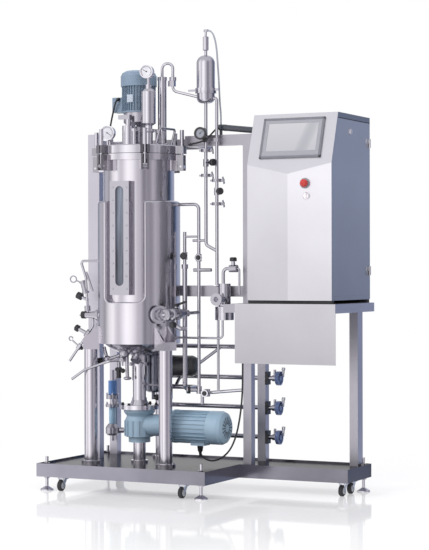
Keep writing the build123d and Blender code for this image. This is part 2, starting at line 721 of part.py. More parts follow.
# ---------------------------------------------------------------- agitation
def agitator():
    """The shaft with three bladed disc impellers and its lower coupling."""
    low = GEARBOX_TOP + GAP
    shaft = turned(
        (
            (0, low), (COUPLING_R, low), (COUPLING_R, low + COUPLING_LENGTH), (SHAFT_R, low + COUPLING_LENGTH),
            (SHAFT_R, SHAFT_TOP), (0, SHAFT_TOP),
        ),
        VESSEL_X, VESSEL_Y,
    )
    spots = around(BLADE_COUNT, VESSEL_X, VESSEL_Y)
    for level in IMPELLER_LEVELS:
        disc_low = (VESSEL_X, VESSEL_Y, level - DISC_SHEET / 2)
        shaft += rod(disc_low, (VESSEL_X, VESSEL_Y, level + DISC_SHEET / 2), DISC_R)
        blade = block(
            (IMPELLER_R - BLADE_LENGTH, -BLADE_SHEET / 2, level - BLADE_HEIGHT / 2),
            (IMPELLER_R, BLADE_SHEET / 2, level + BLADE_HEIGHT / 2),
        )
        shaft += [spot * blade for spot in spots]
    return shaft


def foam_breaker():
    """The lid motor's shaft with its cross of paddles."""
    low, high = BREAKER_LEVEL - 12, TOP_LANTERN_TOP - GAP
    breaker = rod((VESSEL_X, VESSEL_Y, low), (VESSEL_X, VESSEL_Y, high), BREAKER_SHAFT_R)
    paddle = block((0, -1.5, low), (BREAKER_R, 1.5, low + 20))
    return breaker + [spot * paddle for spot in around(4, VESSEL_X, VESSEL_Y)]


def finned_body(length, radius, clear, reach, count):
    """A motor body along Z with a plain flange and cooling ribs round it."""
    core = radius - FIN_HEIGHT
    body = turned(((0, 0), (radius, 0), (radius, clear), (core, clear), (core, length), (0, length)))
    rib = block((core - 2, -FIN_SHEET / 2, clear), (core + reach, FIN_SHEET / 2, length))
    return body + [Rot(0, 0, 360.0 * i / count) * rib for i in range(count)]


def hood(low, high, radius):
    """A pressed fan cover with a rounded rim, from low to high along Z."""
    return turned(
        ((0, low), (radius, low), (radius, high - 24), (radius - 7, high - 9), (radius - 22, high), (0, high))
    )


def top_motor():
    """The finned upright motor with its terminal box."""
    core = TOP_MOTOR_R - FIN_HEIGHT
    body = finned_body(TOP_MOTOR_TOP - TOP_LANTERN_TOP, TOP_MOTOR_R, 8, FIN_HEIGHT, TOP_FIN_COUNT)
    body = Pos(0, 0, TOP_LANTERN_TOP) * body
    body += block((-TERMINAL_REACH, -30, 1724), (2 - core, 30, 1793))
    return Pos(VESSEL_X, VESSEL_Y, 0) * body


def top_lantern():
    """The adapter between the lid and its motor, with a foot and a head flange."""
    low, high, bore = LID_TOP, TOP_LANTERN_TOP, 24
    return turned(
        (
            (bore, low), (60, low), (60, low + 10), (42, low + 12), (42, high - 66), (70, high - 44), (70, high),
            (bore, high),
        ),
        VESSEL_X, VESSEL_Y,
    )


def bottom_lantern():
    """The windowed tube between the vessel's hub and the gearbox."""
    low, inner, clamp_r = GEARBOX_TOP, LANTERN_R - LANTERN_WALL, LANTERN_R + 12
    foot_top, clamp_low = low + LANTERN_FOOT, HUB_BOTTOM - LANTERN_CLAMP
    lantern = turned(
        (
            (inner, low), (LANTERN_FOOT_R, low), (LANTERN_FOOT_R, foot_top), (LANTERN_R + 10, foot_top),
            (LANTERN_R, foot_top + 22), (LANTERN_R, clamp_low), (clamp_r, clamp_low), (clamp_r, HUB_BOTTOM),
            (inner, HUB_BOTTOM),
        ),
        VESSEL_X, VESSEL_Y,
    )
    for spot in around(2, VESSEL_X, VESSEL_Y, 28):
        lantern -= spot * block((0, -16, foot_top + 32), (LANTERN_R + 5, 16, foot_top + 112))
    return lantern


def bottom_gearbox():
    """The bevel gear housing, with its ribs, bottom boss and input neck."""
    r, low, high = GEARBOX_R, GEARBOX_BOTTOM, GEARBOX_TOP
    boss_low = low - GEARBOX_BOSS
    housing = turned(
        (
            (0, boss_low), (50, boss_low), (50, low), (r, low + 4), (r, high - 50), (r - 8, high - 32),
            (r + 6, high - 14), (r + 6, high), (0, high),
        ),
        VESSEL_X, VESSEL_Y,
    )
    neck_end = DRIVE_START - 26
    housing += rod((VESSEL_X, VESSEL_Y, DRIVE_Z), (neck_end, VESSEL_Y, DRIVE_Z), 50)
    housing += rod((neck_end, VESSEL_Y, DRIVE_Z), (DRIVE_START, VESSEL_Y, DRIVE_Z), DRIVE_R - 10)
    rib = block((r - 3, -2.5, low + 8), (r + 5, 2.5, high - 52))
    for angle in range(-140, -39, 25):
        housing += Pos(VESSEL_X, VESSEL_Y, 0) * Rot(0, 0, angle) * rib
    return housing


def drive_motor():
    """The ribbed motor that lies along X, with its domed fan cover and cable gland."""
    length = DRIVE_END - DRIVE_START
    body = finned_body(length - DRIVE_COVER, DRIVE_R, 14, FIN_HEIGHT - 1, FIN_COUNT)
    body += hood(length - DRIVE_COVER, length, DRIVE_R)
    motor = Pos(DRIVE_START, VESSEL_Y, DRIVE_Z) * Rot(0, 90, 0) * body
    box_low = DRIVE_Z - DRIVE_R - 6
    motor += block((GLAND_X - 34, VESSEL_Y - 30, box_low), (GLAND_X + 34, VESSEL_Y + 30, DRIVE_Z - 50))
    return motor + rod((GLAND_X, VESSEL_Y, GLAND_Z), (GLAND_X, VESSEL_Y, box_low), GLAND_R)


# ---------------------------------------------------------------- lid fittings and exhaust line
def gauge_case(place, radius):
    """A round gauge case with a sunk dial, facing forward and a little to the right."""
    aim = level_aim(-80)
    face = Vector(*place) + aim * GAUGE_THICK / 2
    case = extrude(Plane(origin=face, z_dir=-aim) * Circle(radius), GAUGE_THICK)
    return case - extrude(Plane(origin=face, z_dir=-aim) * Circle(radius - 4), 3)


def pressure_gauges():
    """The dial gauges on the lid, on the catch pot and on the air pipe."""
    x, y, z = LID_GAUGE
    lid_gauge = gauge_case(LID_GAUGE, 34) + rod((x, y, LID_TOP), (x, y, z - 31), 6)
    pot_z = POT_TOP + 79
    pot_gauge = gauge_case((POT_X - 8, POT_Y, pot_z), 31) + rod((POT_X, POT_Y, POT_TOP), (POT_X, POT_Y, pot_z - 28), 7)
    pot_gauge += rod((POT_X, POT_Y, POT_TOP), (POT_X, POT_Y, POT_TOP + 20), 14)
    rack_gauge = gauge_case(RACK_GAUGE, 28) + rod(RACK_GAUGE, (AIR_PIPE_X, PIPE_Y, RACK_GAUGE[2]), 5)
    return lid_gauge, pot_gauge, rack_gauge


def catch_pot():
    """The small upright filter pot on its clamped neck."""
    return turned(
        (
            (0, LID_TOP), (20, LID_TOP), (20, 1620), (27, 1624), (27, 1636), (17, 1640), (17, 1652), (POT_R, 1662),
            (POT_R, POT_TOP - 12), (22, POT_TOP), (0, POT_TOP),
        ),
        POT_X, POT_Y,
    )


def exhaust_cooler():
    """The upright exhaust cooler and the pipe that loops from its top to the filter."""
    x, y, top = COOLER_X, COOLER_Y, COOLER_TOP
    cooler = turned(
        (
            (0, LID_TOP), (25, LID_TOP), (25, LID_TOP + 8), (COOLER_R, LID_TOP + 12), (COOLER_R, top - 16),
            (22, top - 16), (22, top), (0, top),
        ),
        x, y,
    )
    loop_x, loop_y, loop_top = x + LOOP_WIDTH, y + 6, top + LOOP_RISE
    points = (
        (x, y, top - 4), (x, y, loop_top), (loop_x, loop_y, loop_top), (loop_x, loop_y, 1816),
        (AIR_PIPE_X - FILTER_R + 6, PIPE_Y, FILTER_SEAT - 26),
    )
    cooler += bent_pipe(points, PIPE_R - 1, 25)
    cooler += rod((loop_x, loop_y, 1862), (loop_x, loop_y, 1878), 16)
    return cooler + block((loop_x - 20, loop_y - 10, 1836), (loop_x + 10, loop_y + 10, 1862))


def filter_housing():
    """The domed exhaust filter with its clamp ring, wing bolts and top connector."""
    x, seat, top = AIR_PIPE_X, FILTER_SEAT, FILTER_TOP
    r, ring, shoulder = FILTER_R, FILTER_R + 6, FILTER_TOP - FILTER_DOME
    side = Polyline((0, 0, seat), (ring, 0, seat), (ring, 0, seat + 12), (r, 0, seat + 12), (r, 0, shoulder))
    dome = ThreePointArc((r, 0, shoulder), (0.75 * r, 0, shoulder + 0.72 * FILTER_DOME), (7, 0, top))
    neck = Polyline(
        (7, 0, top), (7, 0, top + 20), (13, 0, top + 24), (13, 0, VENT_TOP - 28), (5, 0, VENT_TOP - 24),
        (5, 0, VENT_TOP), (0, 0, VENT_TOP), (0, 0, seat),
    )
    housing = Pos(x, PIPE_Y, 0) * revolve(make_face([side, dome, neck]), Axis.Z)
    housing += block((x - 88, PIPE_Y - 4, seat), (x - FILTER_R, PIPE_Y + 4, seat + 10))
    housing += block((x + FILTER_R, PIPE_Y - 4, seat), (x + 66, PIPE_Y + 4, seat + 10))
    return housing + rod((x - 8, PIPE_Y, VENT_TOP), (x + 12, PIPE_Y, VENT_TOP), 6)


def vent_hose():
    """The thin hose from the filter's top connector down to the junction on the rack."""
    x, y, z = KNUCKLE
    points = (
        (AIR_PIPE_X + 12, PIPE_Y, VENT_TOP), (AIR_PIPE_X + 48, PIPE_Y, VENT_TOP),
        (AIR_PIPE_X + 60, PIPE_Y + 12, VENT_TOP - 214), (x, y - 12, z + 114), (x, y, z + 62), (x, y, z + KNUCKLE_HALF),
    )
    return lead("vent hose", points, VENT_R)


# ---------------------------------------------------------------- process lines
VALVES = {
    "knob_air_inlet": ((AIR_PIPE_X, PIPE_Y, 1484.0), level_aim(-30), 58.0),
    "knob_air_bypass": ((FILTER_PIPE_X, PIPE_Y, 1353.0), level_aim(-45), 42.0),
    "knob_jacket_supply": ((SUPPLY_PIPE_X, PIPE_Y, 1062.0), level_aim(-70), 42.0),
    "knob_jacket_return": ((RETURN_PIPE_X, PIPE_Y, 1054.0), level_aim(-67), 42.0),
    "knob_jacket_drain": ((RETURN_PIPE_X, PIPE_Y, 452.0), level_aim(-150), 49.0),
    "knob_jacket_bypass": ((-8.0, PIPE_Y + 6, RETURN_LOW + 4), level_aim(-80), 40.0),
    "knob_separator": ((SMALL_VALVE_X, SEPARATOR_Y, 1004.0), Vector(0, 0, 1), 42.0),
    "knob_sampling": ((-588.0, SIDE_PORT_Y, 702.0), Vector(-0.9, -0.05, 0.43).normalized(), 62.0),
}


def valve_bonnet(name):
    """A valve's bonnet and the spindle that its knob turns on."""
    place, aim, reach = VALVES[name]
    centre = Vector(*place)
    neck_end = centre + aim * (reach - KNOB_THICK / 2 - GAP)
    return rod(centre, neck_end, 8.5) + rod(centre, centre + aim * (reach + KNOB_THICK / 2 - 4), SPINDLE_R)


def valve_body(name):
    """A small valve on an upright pipe, with its bonnet and spindle."""
    x, y, z = VALVES[name][0]
    return rod((x, y, z - 17), (x, y, z + 17), PIPE_R + 5) + valve_bonnet(name)


def valve_knob(name):
    """A black knob that turns on its valve's spindle."""
    place, aim, reach = VALVES[name]
    half, bore = KNOB_THICK / 2, SPINDLE_R + RUNNING
    end = half - 4 + GAP
    profile = ((0, half), (KNOB_R - 4, half), (KNOB_R, half - 4), (KNOB_R, -half), (bore, -half), (bore, end), (0, end))
    return Plane(origin=Vector(*place) + aim * reach, z_dir=aim).location * turned(profile)


def fixed_knob(name):
    """A knob in one piece with its valve."""
    place, aim, reach = VALVES[name]
    centre, half = Vector(*place), KNOB_THICK / 2
    return rod(centre + aim * (reach - half), centre + aim * (reach + half), KNOB_R)


def air_lines():
    """The exhaust filter's base with the two pipes below it and their valves."""
    x, y, seat = AIR_PIPE_X, PIPE_Y, FILTER_SEAT
    bottom, ring, cup = seat - FILTER_CUP, FILTER_R + 6, FILTER_R - 1
    bowl = ThreePointArc((14, 0, bottom), (0.8 * cup, 0, bottom + 7), (cup, 0, bottom + 22))
    side = Polyline(
        (cup, 0, bottom + 22), (cup, 0, seat - 12), (ring, 0, seat - 12), (ring, 0, seat), (0, 0, seat),
        (0, 0, bottom), (14, 0, bottom),
    )
    lines = Pos(x, y, 0) * revolve(make_face([bowl, side]), Axis.Z)
    lines += bent_pipe(((x, y, bottom + 4), (x, y, 1112), (FILTER_PIPE_X - 4, y, 1086)), PIPE_R, 20)
    side = FILTER_PIPE_X
    lines += bent_pipe(((side, y, SEPARATOR_TOP - 6), (side, y, seat - 34), (x + 30, y, seat - 34)), PIPE_R, 12)
    for name in ("knob_air_inlet", "knob_air_bypass"):
        lines += valve_body(name)
    return lines


def jacket_lines():
    """The jacket's return and supply pipes with their valves and bridges."""
    y, x, sx = PIPE_Y, RETURN_PIPE_X, SUPPLY_PIPE_X
    port_x = VESSEL_X + sqrt(JACKET_R ** 2 - (y - VESSEL_Y) ** 2) - 4
    lines = bent_pipe(((port_x, y, 1297), (x, y, 1297), (x, y, RETURN_LOW), (TALL_COLUMN_X, y + 36, RETURN_LOW + 20)), PIPE_R, 24)
    lines += rod((sx, y, 1010), (sx, y, 1172), PIPE_R)
    lines += rod((sx, y, 1004), (sx, y, 1024), 15)
    lines += bent_pipe(
        ((sx, y, 1010), (sx, y, 455), (sx, PUMP_Y, 455), (PUMP_START - 22, PUMP_Y, 455), (PUMP_START - 22, PUMP_Y, PUMP_Z)),
        WIDE_PIPE_R, 26,
    )
    lines += rod((sx, y, 1150), (x, y, 1150), THIN_PIPE_R)
    lines += rod((x - 26, y, 998), (16, y, 998), 8)
    lines += rod((x - 30, y, 1132), (AIR_PIPE_X, y, 1132), 6)
    lines += rod((x + 15, y + 3, RETURN_LOW + 2), (x + 15, y + 3, RETURN_LOW - 48), 8)
    feed = ((PUMP_START + 27, PUMP_Y, 455), (PUMP_START + 27, PUMP_Y + 38, 490), (-53, DRAIN_Y, DRAIN_HEADER_TOP))
    lines += bent_pipe(feed, PIPE_R, 20)
    for name in ("knob_jacket_supply", "knob_jacket_return", "knob_jacket_drain", "knob_jacket_bypass"):
        lines += valve_body(name)
    for name in ("knob_jacket_return", "knob_jacket_drain", "knob_jacket_bypass"):
        lines += fixed_knob(name)
    return lines


def water_separator():
    """The water separator: filter body, cup, side port, valve and drains."""
    x, y, top = SEPARATOR_X, SEPARATOR_Y, SEPARATOR_TOP
    body = turned(
        ((0, 772), (43, 772), (43, 832), (28, 836), (28, top), (0, top)), x, y
    )
    port_end = y - 88
    body += rod((x, y, 866), (x, port_end + 12, 866), 17)
    body += rod((x, port_end, 866), (x, port_end + 12, 866), 28)
    body -= rod((x, port_end, 866), (x, port_end + 30, 866), 12)
    body += rod((FILTER_PIPE_X, PIPE_Y, top - 8), (x, y, top - 8), 6)
    valve_z = VALVES["knob_separator"][0][2]
    body += bent_pipe(((x - 6, y, top - 4), (x - 6, y, valve_z), (SMALL_VALVE_X, y, valve_z)), PIPE_R, 20)
    body += rod((SMALL_VALVE_X - 17, y, valve_z), (SMALL_VALVE_X + 19, y, valve_z), 17)
    body += bent_pipe(
        ((SMALL_VALVE_X, y, valve_z), (SMALL_VALVE_X + 30, y, valve_z), (SMALL_VALVE_X + 30, y, 885)), THIN_PIPE_R, 9
    )
    body += valve_bonnet("knob_separator")
    body += rod((x - 32, y, 455), (x - 32, y, 774), THIN_PIPE_R + 1)
    drain_y = y - 16
    jacket_side = VESSEL_X + sqrt(JACKET_R ** 2 - (drain_y - VESSEL_Y) ** 2) - 4
    drain = ((x - 2, drain_y, 774), (x - 2, drain_y, 690), (jacket_side, drain_y, 690))
    return body + bent_pipe(drain, THIN_PIPE_R, 16)


def drain_lines():
    """Three condensate pipes through the rear column, their header and end valves."""
    y, header_low = DRAIN_Y, DRAIN_LEVELS[-1] - 14
    lines = rod((DRAIN_START, y, header_low), (DRAIN_START, y, DRAIN_HEADER_TOP + 14), WIDE_PIPE_R + 3)
    for level in DRAIN_LEVELS:
        valve_start = DRAIN_END - 16
        lines += rod((DRAIN_START, y, level), (valve_start, y, level), WIDE_PIPE_R)
        lines += rod((valve_start, y, level), (DRAIN_END + 6, y, level), 15)
        lines += rod((DRAIN_END - 6, y, level), (DRAIN_END - 6, y, level + 40), 6)
        lines += rod((DRAIN_END, y, level), (DRAIN_END + 6 + GAP + 14, y, level), SPINDLE_R)
    return lines + rod((DRAIN_START, y, DRAIN_HEADER_TOP), (REAR_COLUMN_X, y, DRAIN_HEADER_TOP), WIDE_PIPE_R)


def drain_handwheel(level):
    """A blue handwheel on a drain valve's spindle, turned about X."""
    bore, r, thick = SPINDLE_R + RUNNING, HANDWHEEL_R, HANDWHEEL_THICK
    profile = (
        (bore, 0), (r, 0), (r, thick), (r - 7, thick), (r - 7, thick - 7), (12, thick - 7), (12, thick + 2),
        (0, thick + 2), (0, 14 + GAP), (bore, 14 + GAP),
    )
    return Pos(DRAIN_END + 6 + GAP, DRAIN_Y, level) * Rot(0, 90, 0) * turned(profile)


def pipe_union(x, y, z):
    """A clamp ring round an upright pipe, with its hinge and its wing nut."""
    half, reach = CLAMP_THICK / 2, CLAMP_R + 10
    ears = block((x - reach, y - 4, z - 4), (x + reach, y + 4, z + 4))
    return rod((x, y, z - half), (x, y, z + half), CLAMP_R) + ears - rod((x, y, z - half), (x, y, z + half), PIPE_R)


def column_grip(level):
    """A black grip that holds a drain pipe on the rear column's right side."""
    x = REAR_COLUMN_X + TUBE
    grip = block((x, DRAIN_Y - 17, level - 21), (x + 12, DRAIN_Y + 17, level + 21))
    return grip - rod((x, DRAIN_Y, level), (x + 12, DRAIN_Y, level), WIDE_PIPE_R)


def rack_grip(x, z):
    """A bracket from the rack's beam to an upright pipe."""
    grip = block((x - 11, PIPE_Y - 11, z - 9), (x + 11, RACK_FRONT, z + 9))
    return grip - rod((x, PIPE_Y, z - 9), (x, PIPE_Y, z + 9), PIPE_R)


def pipe_clamps():
    """The clamp unions on the air pipes, and the grips on the rack and the column."""
    beam_z = RACK_TOP - BEAM_HEIGHT / 2
    unions = [pipe_union(AIR_PIPE_X, PIPE_Y, z) for z in (1540, 1427)]
    unions += [pipe_union(FILTER_PIPE_X, PIPE_Y, z) for z in (1403, 1297)]
    grips = [rack_grip(x, beam_z) for x in (AIR_PIPE_X, FILTER_PIPE_X)]
    return unions + grips + [column_grip(level) for level in DRAIN_LEVELS]


# ---------------------------------------------------------------- side ports, pump and leads
def sampling_ports():
    """The ports, steam line and sample tube on the vessel's left, and the probe port on its right."""
    y = SIDE_PORT_Y
    jacket_x = VESSEL_X - sqrt(JACKET_R ** 2 - (y - VESSEL_Y) ** 2) + 4
    ports = rod((jacket_x, y, 790), (-560, y, 790), 18)
    ports += rod((-538, y, 790), (-524, y, 790), 26)
    ports += rod((-560, y, 790), (-598, y, 790), 15)
    ports += bent_pipe(((jacket_x, y, 1041), (-625, y, 1041), (-597, y, 962), (-588, y, 800)), 6, 12)
    ports += rod((-588, y, 859), (-622, y, 874), 7)
    ports += rod((-622, y, 874), (-640, y, 882), KNOB_R)
    ports += bent_pipe(((-560, y, 776), (-560, y, 738), (-686, y, 575)), THIN_PIPE_R + 1, 14)
    ports += valve_bonnet("knob_sampling")
    ports += rod((-626, y, 652), (-642, y, 632), 11)
    ports += rod((-634, y, 642), (-673, y, 672), 4)
    aim = level_aim(-37)
    axis = Vector(VESSEL_X, VESSEL_Y, 797)
    for near, far, radius in ((-3, 22, 24), (22, 38, PROBE_RING_R), (38, 52, 26), (52, 66, 14)):
        ports += rod(axis + aim * (JACKET_R + near), axis + aim * (JACKET_R + far), radius)
    end = Vector(RETURN_PIPE_X, PIPE_Y, axis.Z + 8)
    turn = axis + aim * (JACKET_R + 76)
    ports += bent_pipe((tuple(axis + aim * (JACKET_R + 60)), tuple(turn), tuple(end)), PIPE_R, 12)
    middle, along = turn + (end - turn) * 0.35, (end - turn).normalized()
    ports += rod(middle - along * 18, middle + along * 18, 13)
    return ports + rod(middle, middle + Vector(0, 0, 34), 6)


def circulation_pump():
    """The black jacket water pump with its steel head and riser."""
    y, z, head_x = PUMP_Y, PUMP_Z, PUMP_START - 40
    length = PUMP_END - PUMP_START
    pump = Pos(PUMP_START, y, z) * Rot(0, 90, 0) * hood(0, length, PUMP_R)
    pump += rod((head_x, y, z), (PUMP_START, y, z), PUMP_HEAD_R)
    return pump + rod((head_x + 18, y, z), (head_x + 18, y, JACKET_BOTTOM), 9)


def leads():
    """The drive motor's lead, the lid motor's lead and the sensor lead."""
    drive = lead(
        "drive lead",
        (
            (GLAND_X, VESSEL_Y, GLAND_Z), (GLAND_X, VESSEL_Y, GLAND_Z - 36), (GLAND_X + 90, -22, 132),
            (184, -80, 210), (244, -120, 400), (250, -127, 600), (250, -127, SHELF_UNDER),
        ),
        4,
    )
    port_x, port_y, _, port_top = SMALL_PORTS[1]
    box_y = VESSEL_Y - 30
    top = lead(
        "lid motor lead",
        (
            (-424, box_y, 1784), (-424, box_y - 16, 1784), (-436, box_y - 16, 1760), (-470, box_y, 1660),
            (port_x, port_y, port_top + 30), (port_x, port_y, port_top),
        ),
        4,
    )
    x, y, z = KNUCKLE
    sensor = lead(
        "sensor lead",
        (
            (x - 8, y - KNUCKLE_HALF, z - 4), (x - 8, y - 25, z - 4), (18, 30, 1612), (8, 9, 1588), (-30, 8, 1576),
            (-80, 16, 1570),
            (-100, 36, 1570), (-100, RACK_FRONT, 1570),
        ),
        4,
    )
    return drive, top, sensor


def junction():
    """The black junction on its post, with the conduit to the cabinet."""
    x, y, z = KNUCKLE
    half = KNUCKLE_HALF
    box = block((x - half, y - half, z - half), (x + half, y + half, z + half))
    box += rod((x, y, RACK_TOP), (x, y, z), 7)
    conduit = rod((x + half - 2, y, z - 1), (CABINET_LEFT + 10, y, z - 28), 14)
    return box + (conduit - block((CABINET_LEFT, y - 20, z - 60), (CABINET_LEFT + 30, y + 20, z + 20)))


# ---------------------------------------------------------------- cabinet
def slant_y(z, inset=0.0):
    """The Y of the slanted face at a height."""
    return CABINET_FRONT + (z - CABINET_FOLD) * SLANT + inset


def cabinet_form(inset):
    """The cabinet's closed form with its prow and slanted face, drawn in by an even inset."""
    low, high = CABINET_BOTTOM + inset, CABINET_TOP - inset
    left, right = CABINET_LEFT + inset, CABINET_RIGHT - inset
    front, back = CABINET_FRONT + inset, CABINET_BACK - inset
    outline = (
        (left, back, low), (left, front, low), (CABINET_MIDDLE, front - PROW, low), (right, front, low),
        (right, back, low),
    )
    start, end, near = CABINET_FOLD - 120, CABINET_TOP + 20, CABINET_FRONT - 60
    side = CABINET_LEFT - 5
    wedge = ((side, slant_y(start, inset), start), (side, slant_y(end, inset), end), (side, near, end), (side, near, start))
    width = CABINET_RIGHT - CABINET_LEFT + 10
    return prism(outline, (0, 0, 1), high - low) - prism(wedge, (1, 0, 0), width)


def door_slab(x, thickness, inset):
    """A slab with the side door's outline, with its slanted front edge, drawn in by an inset."""
    front = CABINET_FRONT + DOOR_MARGIN + inset
    low, high, back = DOOR_LOW + inset, DOOR_HIGH - inset, DOOR_BACK - inset
    outline = (
        (x, front, low), (x, back, low), (x, back, high), (x, slant_y(high, DOOR_MARGIN + inset), high),
        (x, front, CABINET_FOLD),
    )
    return prism(outline, (1, 0, 0), thickness)


def front_place(x, z):
    """The place on the prow's right face at x and z, with Z outward and Y up."""
    run = CABINET_RIGHT - CABINET_MIDDLE
    y = CABINET_FRONT - PROW + (x - CABINET_MIDDLE) * PROW / run
    outward = Vector(PROW, -run, 0).normalized()
    return Plane(origin=(x, y, z), x_dir=(-outward.Y, outward.X, 0), z_dir=outward).location


def panel_place():
    """The place of the operator panel on the slanted face, with Z outward and Y up the slant."""
    origin = (CABINET_MIDDLE, slant_y(PANEL_MID_Z), PANEL_MID_Z)
    return Plane(origin=origin, x_dir=(1, 0, 0), z_dir=(0, -1, SLANT)).location


def cabinet_shell():
    """The folded cabinet with its door opening, panel cut-out, collars and hinge leaves."""
    shell = cabinet_form(0) - cabinet_form(CABINET_SHEET)
    depth = DOOR_THICK + GAP
    shell -= door_slab(CABINET_RIGHT - depth, 2 * depth, -GAP)
    shell += door_slab(CABINET_RIGHT - depth, depth, -JAMB) - door_slab(CABINET_RIGHT - depth, depth, -GAP)
    rest_x = CABINET_RIGHT - depth - CABINET_SHEET
    shell += door_slab(rest_x, CABINET_SHEET, -JAMB) - door_slab(rest_x, CABINET_SHEET, DOOR_REST)
    shell -= panel_place() * Box(PANEL_WIDTH - 16 + 2 * GAP, PANEL_HEIGHT - 16 + 2 * GAP, 30)
    estop = front_place(ESTOP_X, ESTOP_Z)
    shell += estop * rod((0, 0, -1), (0, 0, 6), ESTOP_STEM_R + 7)
    shell -= estop * rod((0, 0, -6), (0, 0, 8), ESTOP_STEM_R + RUNNING)
    shell -= front_place(SELECTOR_X, SELECTOR_Z) * rod((0, 0, -6), (0, 0, 6), SELECTOR_STEM_R + RUNNING)
    for level in HINGE_LEVELS:
        leaf = (CABINET_RIGHT, HINGE_Y + 3, level)
        shell += block(leaf, (CABINET_RIGHT + CABINET_SHEET, CABINET_BACK - CABINET_SHEET, level + HINGE_LENGTH))
        shell += rod((HINGE_X, HINGE_Y, level), (HINGE_X, HINGE_Y, level + HINGE_LENGTH), HINGE_R)
        shell += rod((HINGE_X, HINGE_Y, level), (HINGE_X, HINGE_Y, level + 2 * HINGE_LENGTH - 4), HINGE_PIN_R)
    return shell


def cabinet_door():
    """The folded side door with its hinge knuckles."""
    inner = CABINET_RIGHT - DOOR_THICK
    door = door_slab(inner, DOOR_THICK, 0) - door_slab(inner, DOOR_THICK - CABINET_SHEET, CABINET_SHEET)
    for level in HINGE_LEVELS:
        low, high = level + HINGE_LENGTH + GAP, level + 2 * HINGE_LENGTH
        leaf = (CABINET_RIGHT, DOOR_BACK - 24, low)
        door += block(leaf, (CABINET_RIGHT + CABINET_SHEET, DOOR_BACK - 0.5, high))
        door += rod((HINGE_X, HINGE_Y, low), (HINGE_X, HINGE_Y, high), HINGE_R)
        door -= rod((HINGE_X, HINGE_Y, low), (HINGE_X, HINGE_Y, high), HINGE_PIN_R + RUNNING)
    return door - rod((inner, LOCK_Y, LOCK_Z), (CABINET_RIGHT, LOCK_Y, LOCK_Z), LOCK_BARREL_R + RUNNING)


def door_lock():
    """The lock barrel with its cam, drawn with the cam released."""
    inner, outer = CABINET_RIGHT - DOOR_THICK - 8, CABINET_RIGHT + GAP
    lock = rod((inner, LOCK_Y, LOCK_Z), (outer, LOCK_Y, LOCK_Z), LOCK_BARREL_R)
    lock += rod((outer, LOCK_Y, LOCK_Z), (outer + 4, LOCK_Y, LOCK_Z), LOCK_R)
    lock -= block((outer + 2, LOCK_Y - 1.5, LOCK_Z - 7), (outer + 4, LOCK_Y + 1.5, LOCK_Z + 7))
    return lock + block((inner - 4, LOCK_Y - 8, LOCK_Z - 8), (inner, LOCK_Y + LOCK_REACH, LOCK_Z + 8))


def touch_panel():
    """The operator panel: a bezel with a sunk screen, its back inside the cabinet."""
    low_side = (Align.CENTER, Align.CENTER, Align.MIN)
    panel = Box(PANEL_WIDTH, PANEL_HEIGHT, PANEL_PROUD, align=low_side)
    panel -= Pos(0, 4, PANEL_PROUD - 2) * Box(SCREEN_WIDTH, SCREEN_HEIGHT, 2, align=low_side)
    panel += Pos(0, 0, -PANEL_DEPTH) * Box(PANEL_WIDTH - 16, PANEL_HEIGHT - 16, PANEL_DEPTH, align=low_side)
    return panel_place() * panel


def e_stop():
    """The mushroom head on its stem."""
    stem, r = ESTOP_STEM_R, ESTOP_R
    head = 6 + ESTOP_TRAVEL + 1
    profile = ((0, -22), (stem, -22), (stem, head), (r, head), (r, head + 8), (r - 6, head + 16), (0, head + 18))
    return front_place(ESTOP_X, ESTOP_Z) * turned(profile)


def selector_knob():
    """The short lever knob below the emergency stop."""
    stem, r = SELECTOR_STEM_R, SELECTOR_R
    knob = turned(((0, -20), (stem, -20), (stem, GAP), (r, GAP), (r, 9), (0, 9)))
    knob += Pos(0, 0, 13) * Box(6, 2 * r - 2, 9)
    return front_place(SELECTOR_X, SELECTOR_Z) * knob


def control_modules():
    """The mounting plate with rows of drives, terminals and the controller."""
    back, plate_y = CABINET_BACK - CABINET_SHEET, CABINET_BACK - 24
    left, right = CABINET_LEFT + 30, CABINET_RIGHT - 60
    low, high = CABINET_BOTTOM + 40, CABINET_TOP - 60
    modules = block((left, plate_y, low), (right, plate_y + 3, high))
    for x in (left + 20, right - 40):
        for z in (low + 20, high - 40):
            modules += block((x, plate_y + 3, z), (x + 20, back, z + 20))
    rows = ((low + 435, 96, 4, 70), (low + 255, 120, 3, 90), (low + 85, 60, 5, 50))
    for z, height, count, depth in rows:
        pitch = (right - left - 40) / count
        for i in range(count):
            x = left + 20 + i * pitch
            modules += block((x, plate_y - depth, z), (x + pitch - 6, plate_y, z + height))
    return modules


def cabinet_rail(y):
    """A rubber rail between the shelf and the cabinet, with its front face at y."""
    low = (CABINET_LEFT + CABINET_SHEET, y, SHELF_TOP)
    return block(low, (CABINET_RIGHT - CABINET_SHEET, y + CABINET_RAIL_WIDTH, CABINET_BOTTOM))


# ---------------------------------------------------------------- harvest valve
def harvest_valve():
    """The valve welded under the dished end, with the spindle that the long lever turns."""
    x, y, z = LEVER_X, LEVER_Y, LEVER_Z
    inside = dish_height(SHELL_R - SHELL_WALL, JACKET_BOTTOM + SHELL_WALL, SHELL_R / 2)
    return rod((x, y, z - 28), (x, y, inside - SHELL_WALL), 16) + rod((x, y, z), (x, y - 48, z), SPINDLE_R)


def bottom_valve_lever():
    """The long lever of the harvest valve below the vessel."""
    x, y, z = LEVER_X, LEVER_Y - 16 - GAP, LEVER_Z
    lever = rod((x, y, z), (x, y - 24, z), 11)
    path = ((x, y - 18, z), (x - 40, VESSEL_Y - 148, z - 4), (-541, VESSEL_Y - 149, 541), (-607, VESSEL_Y - 149, 498))
    lever += bent_pipe(path, 6, 22)
    return lever - rod((x, y, z), (x, y - 32, z), SPINDLE_R + RUNNING)


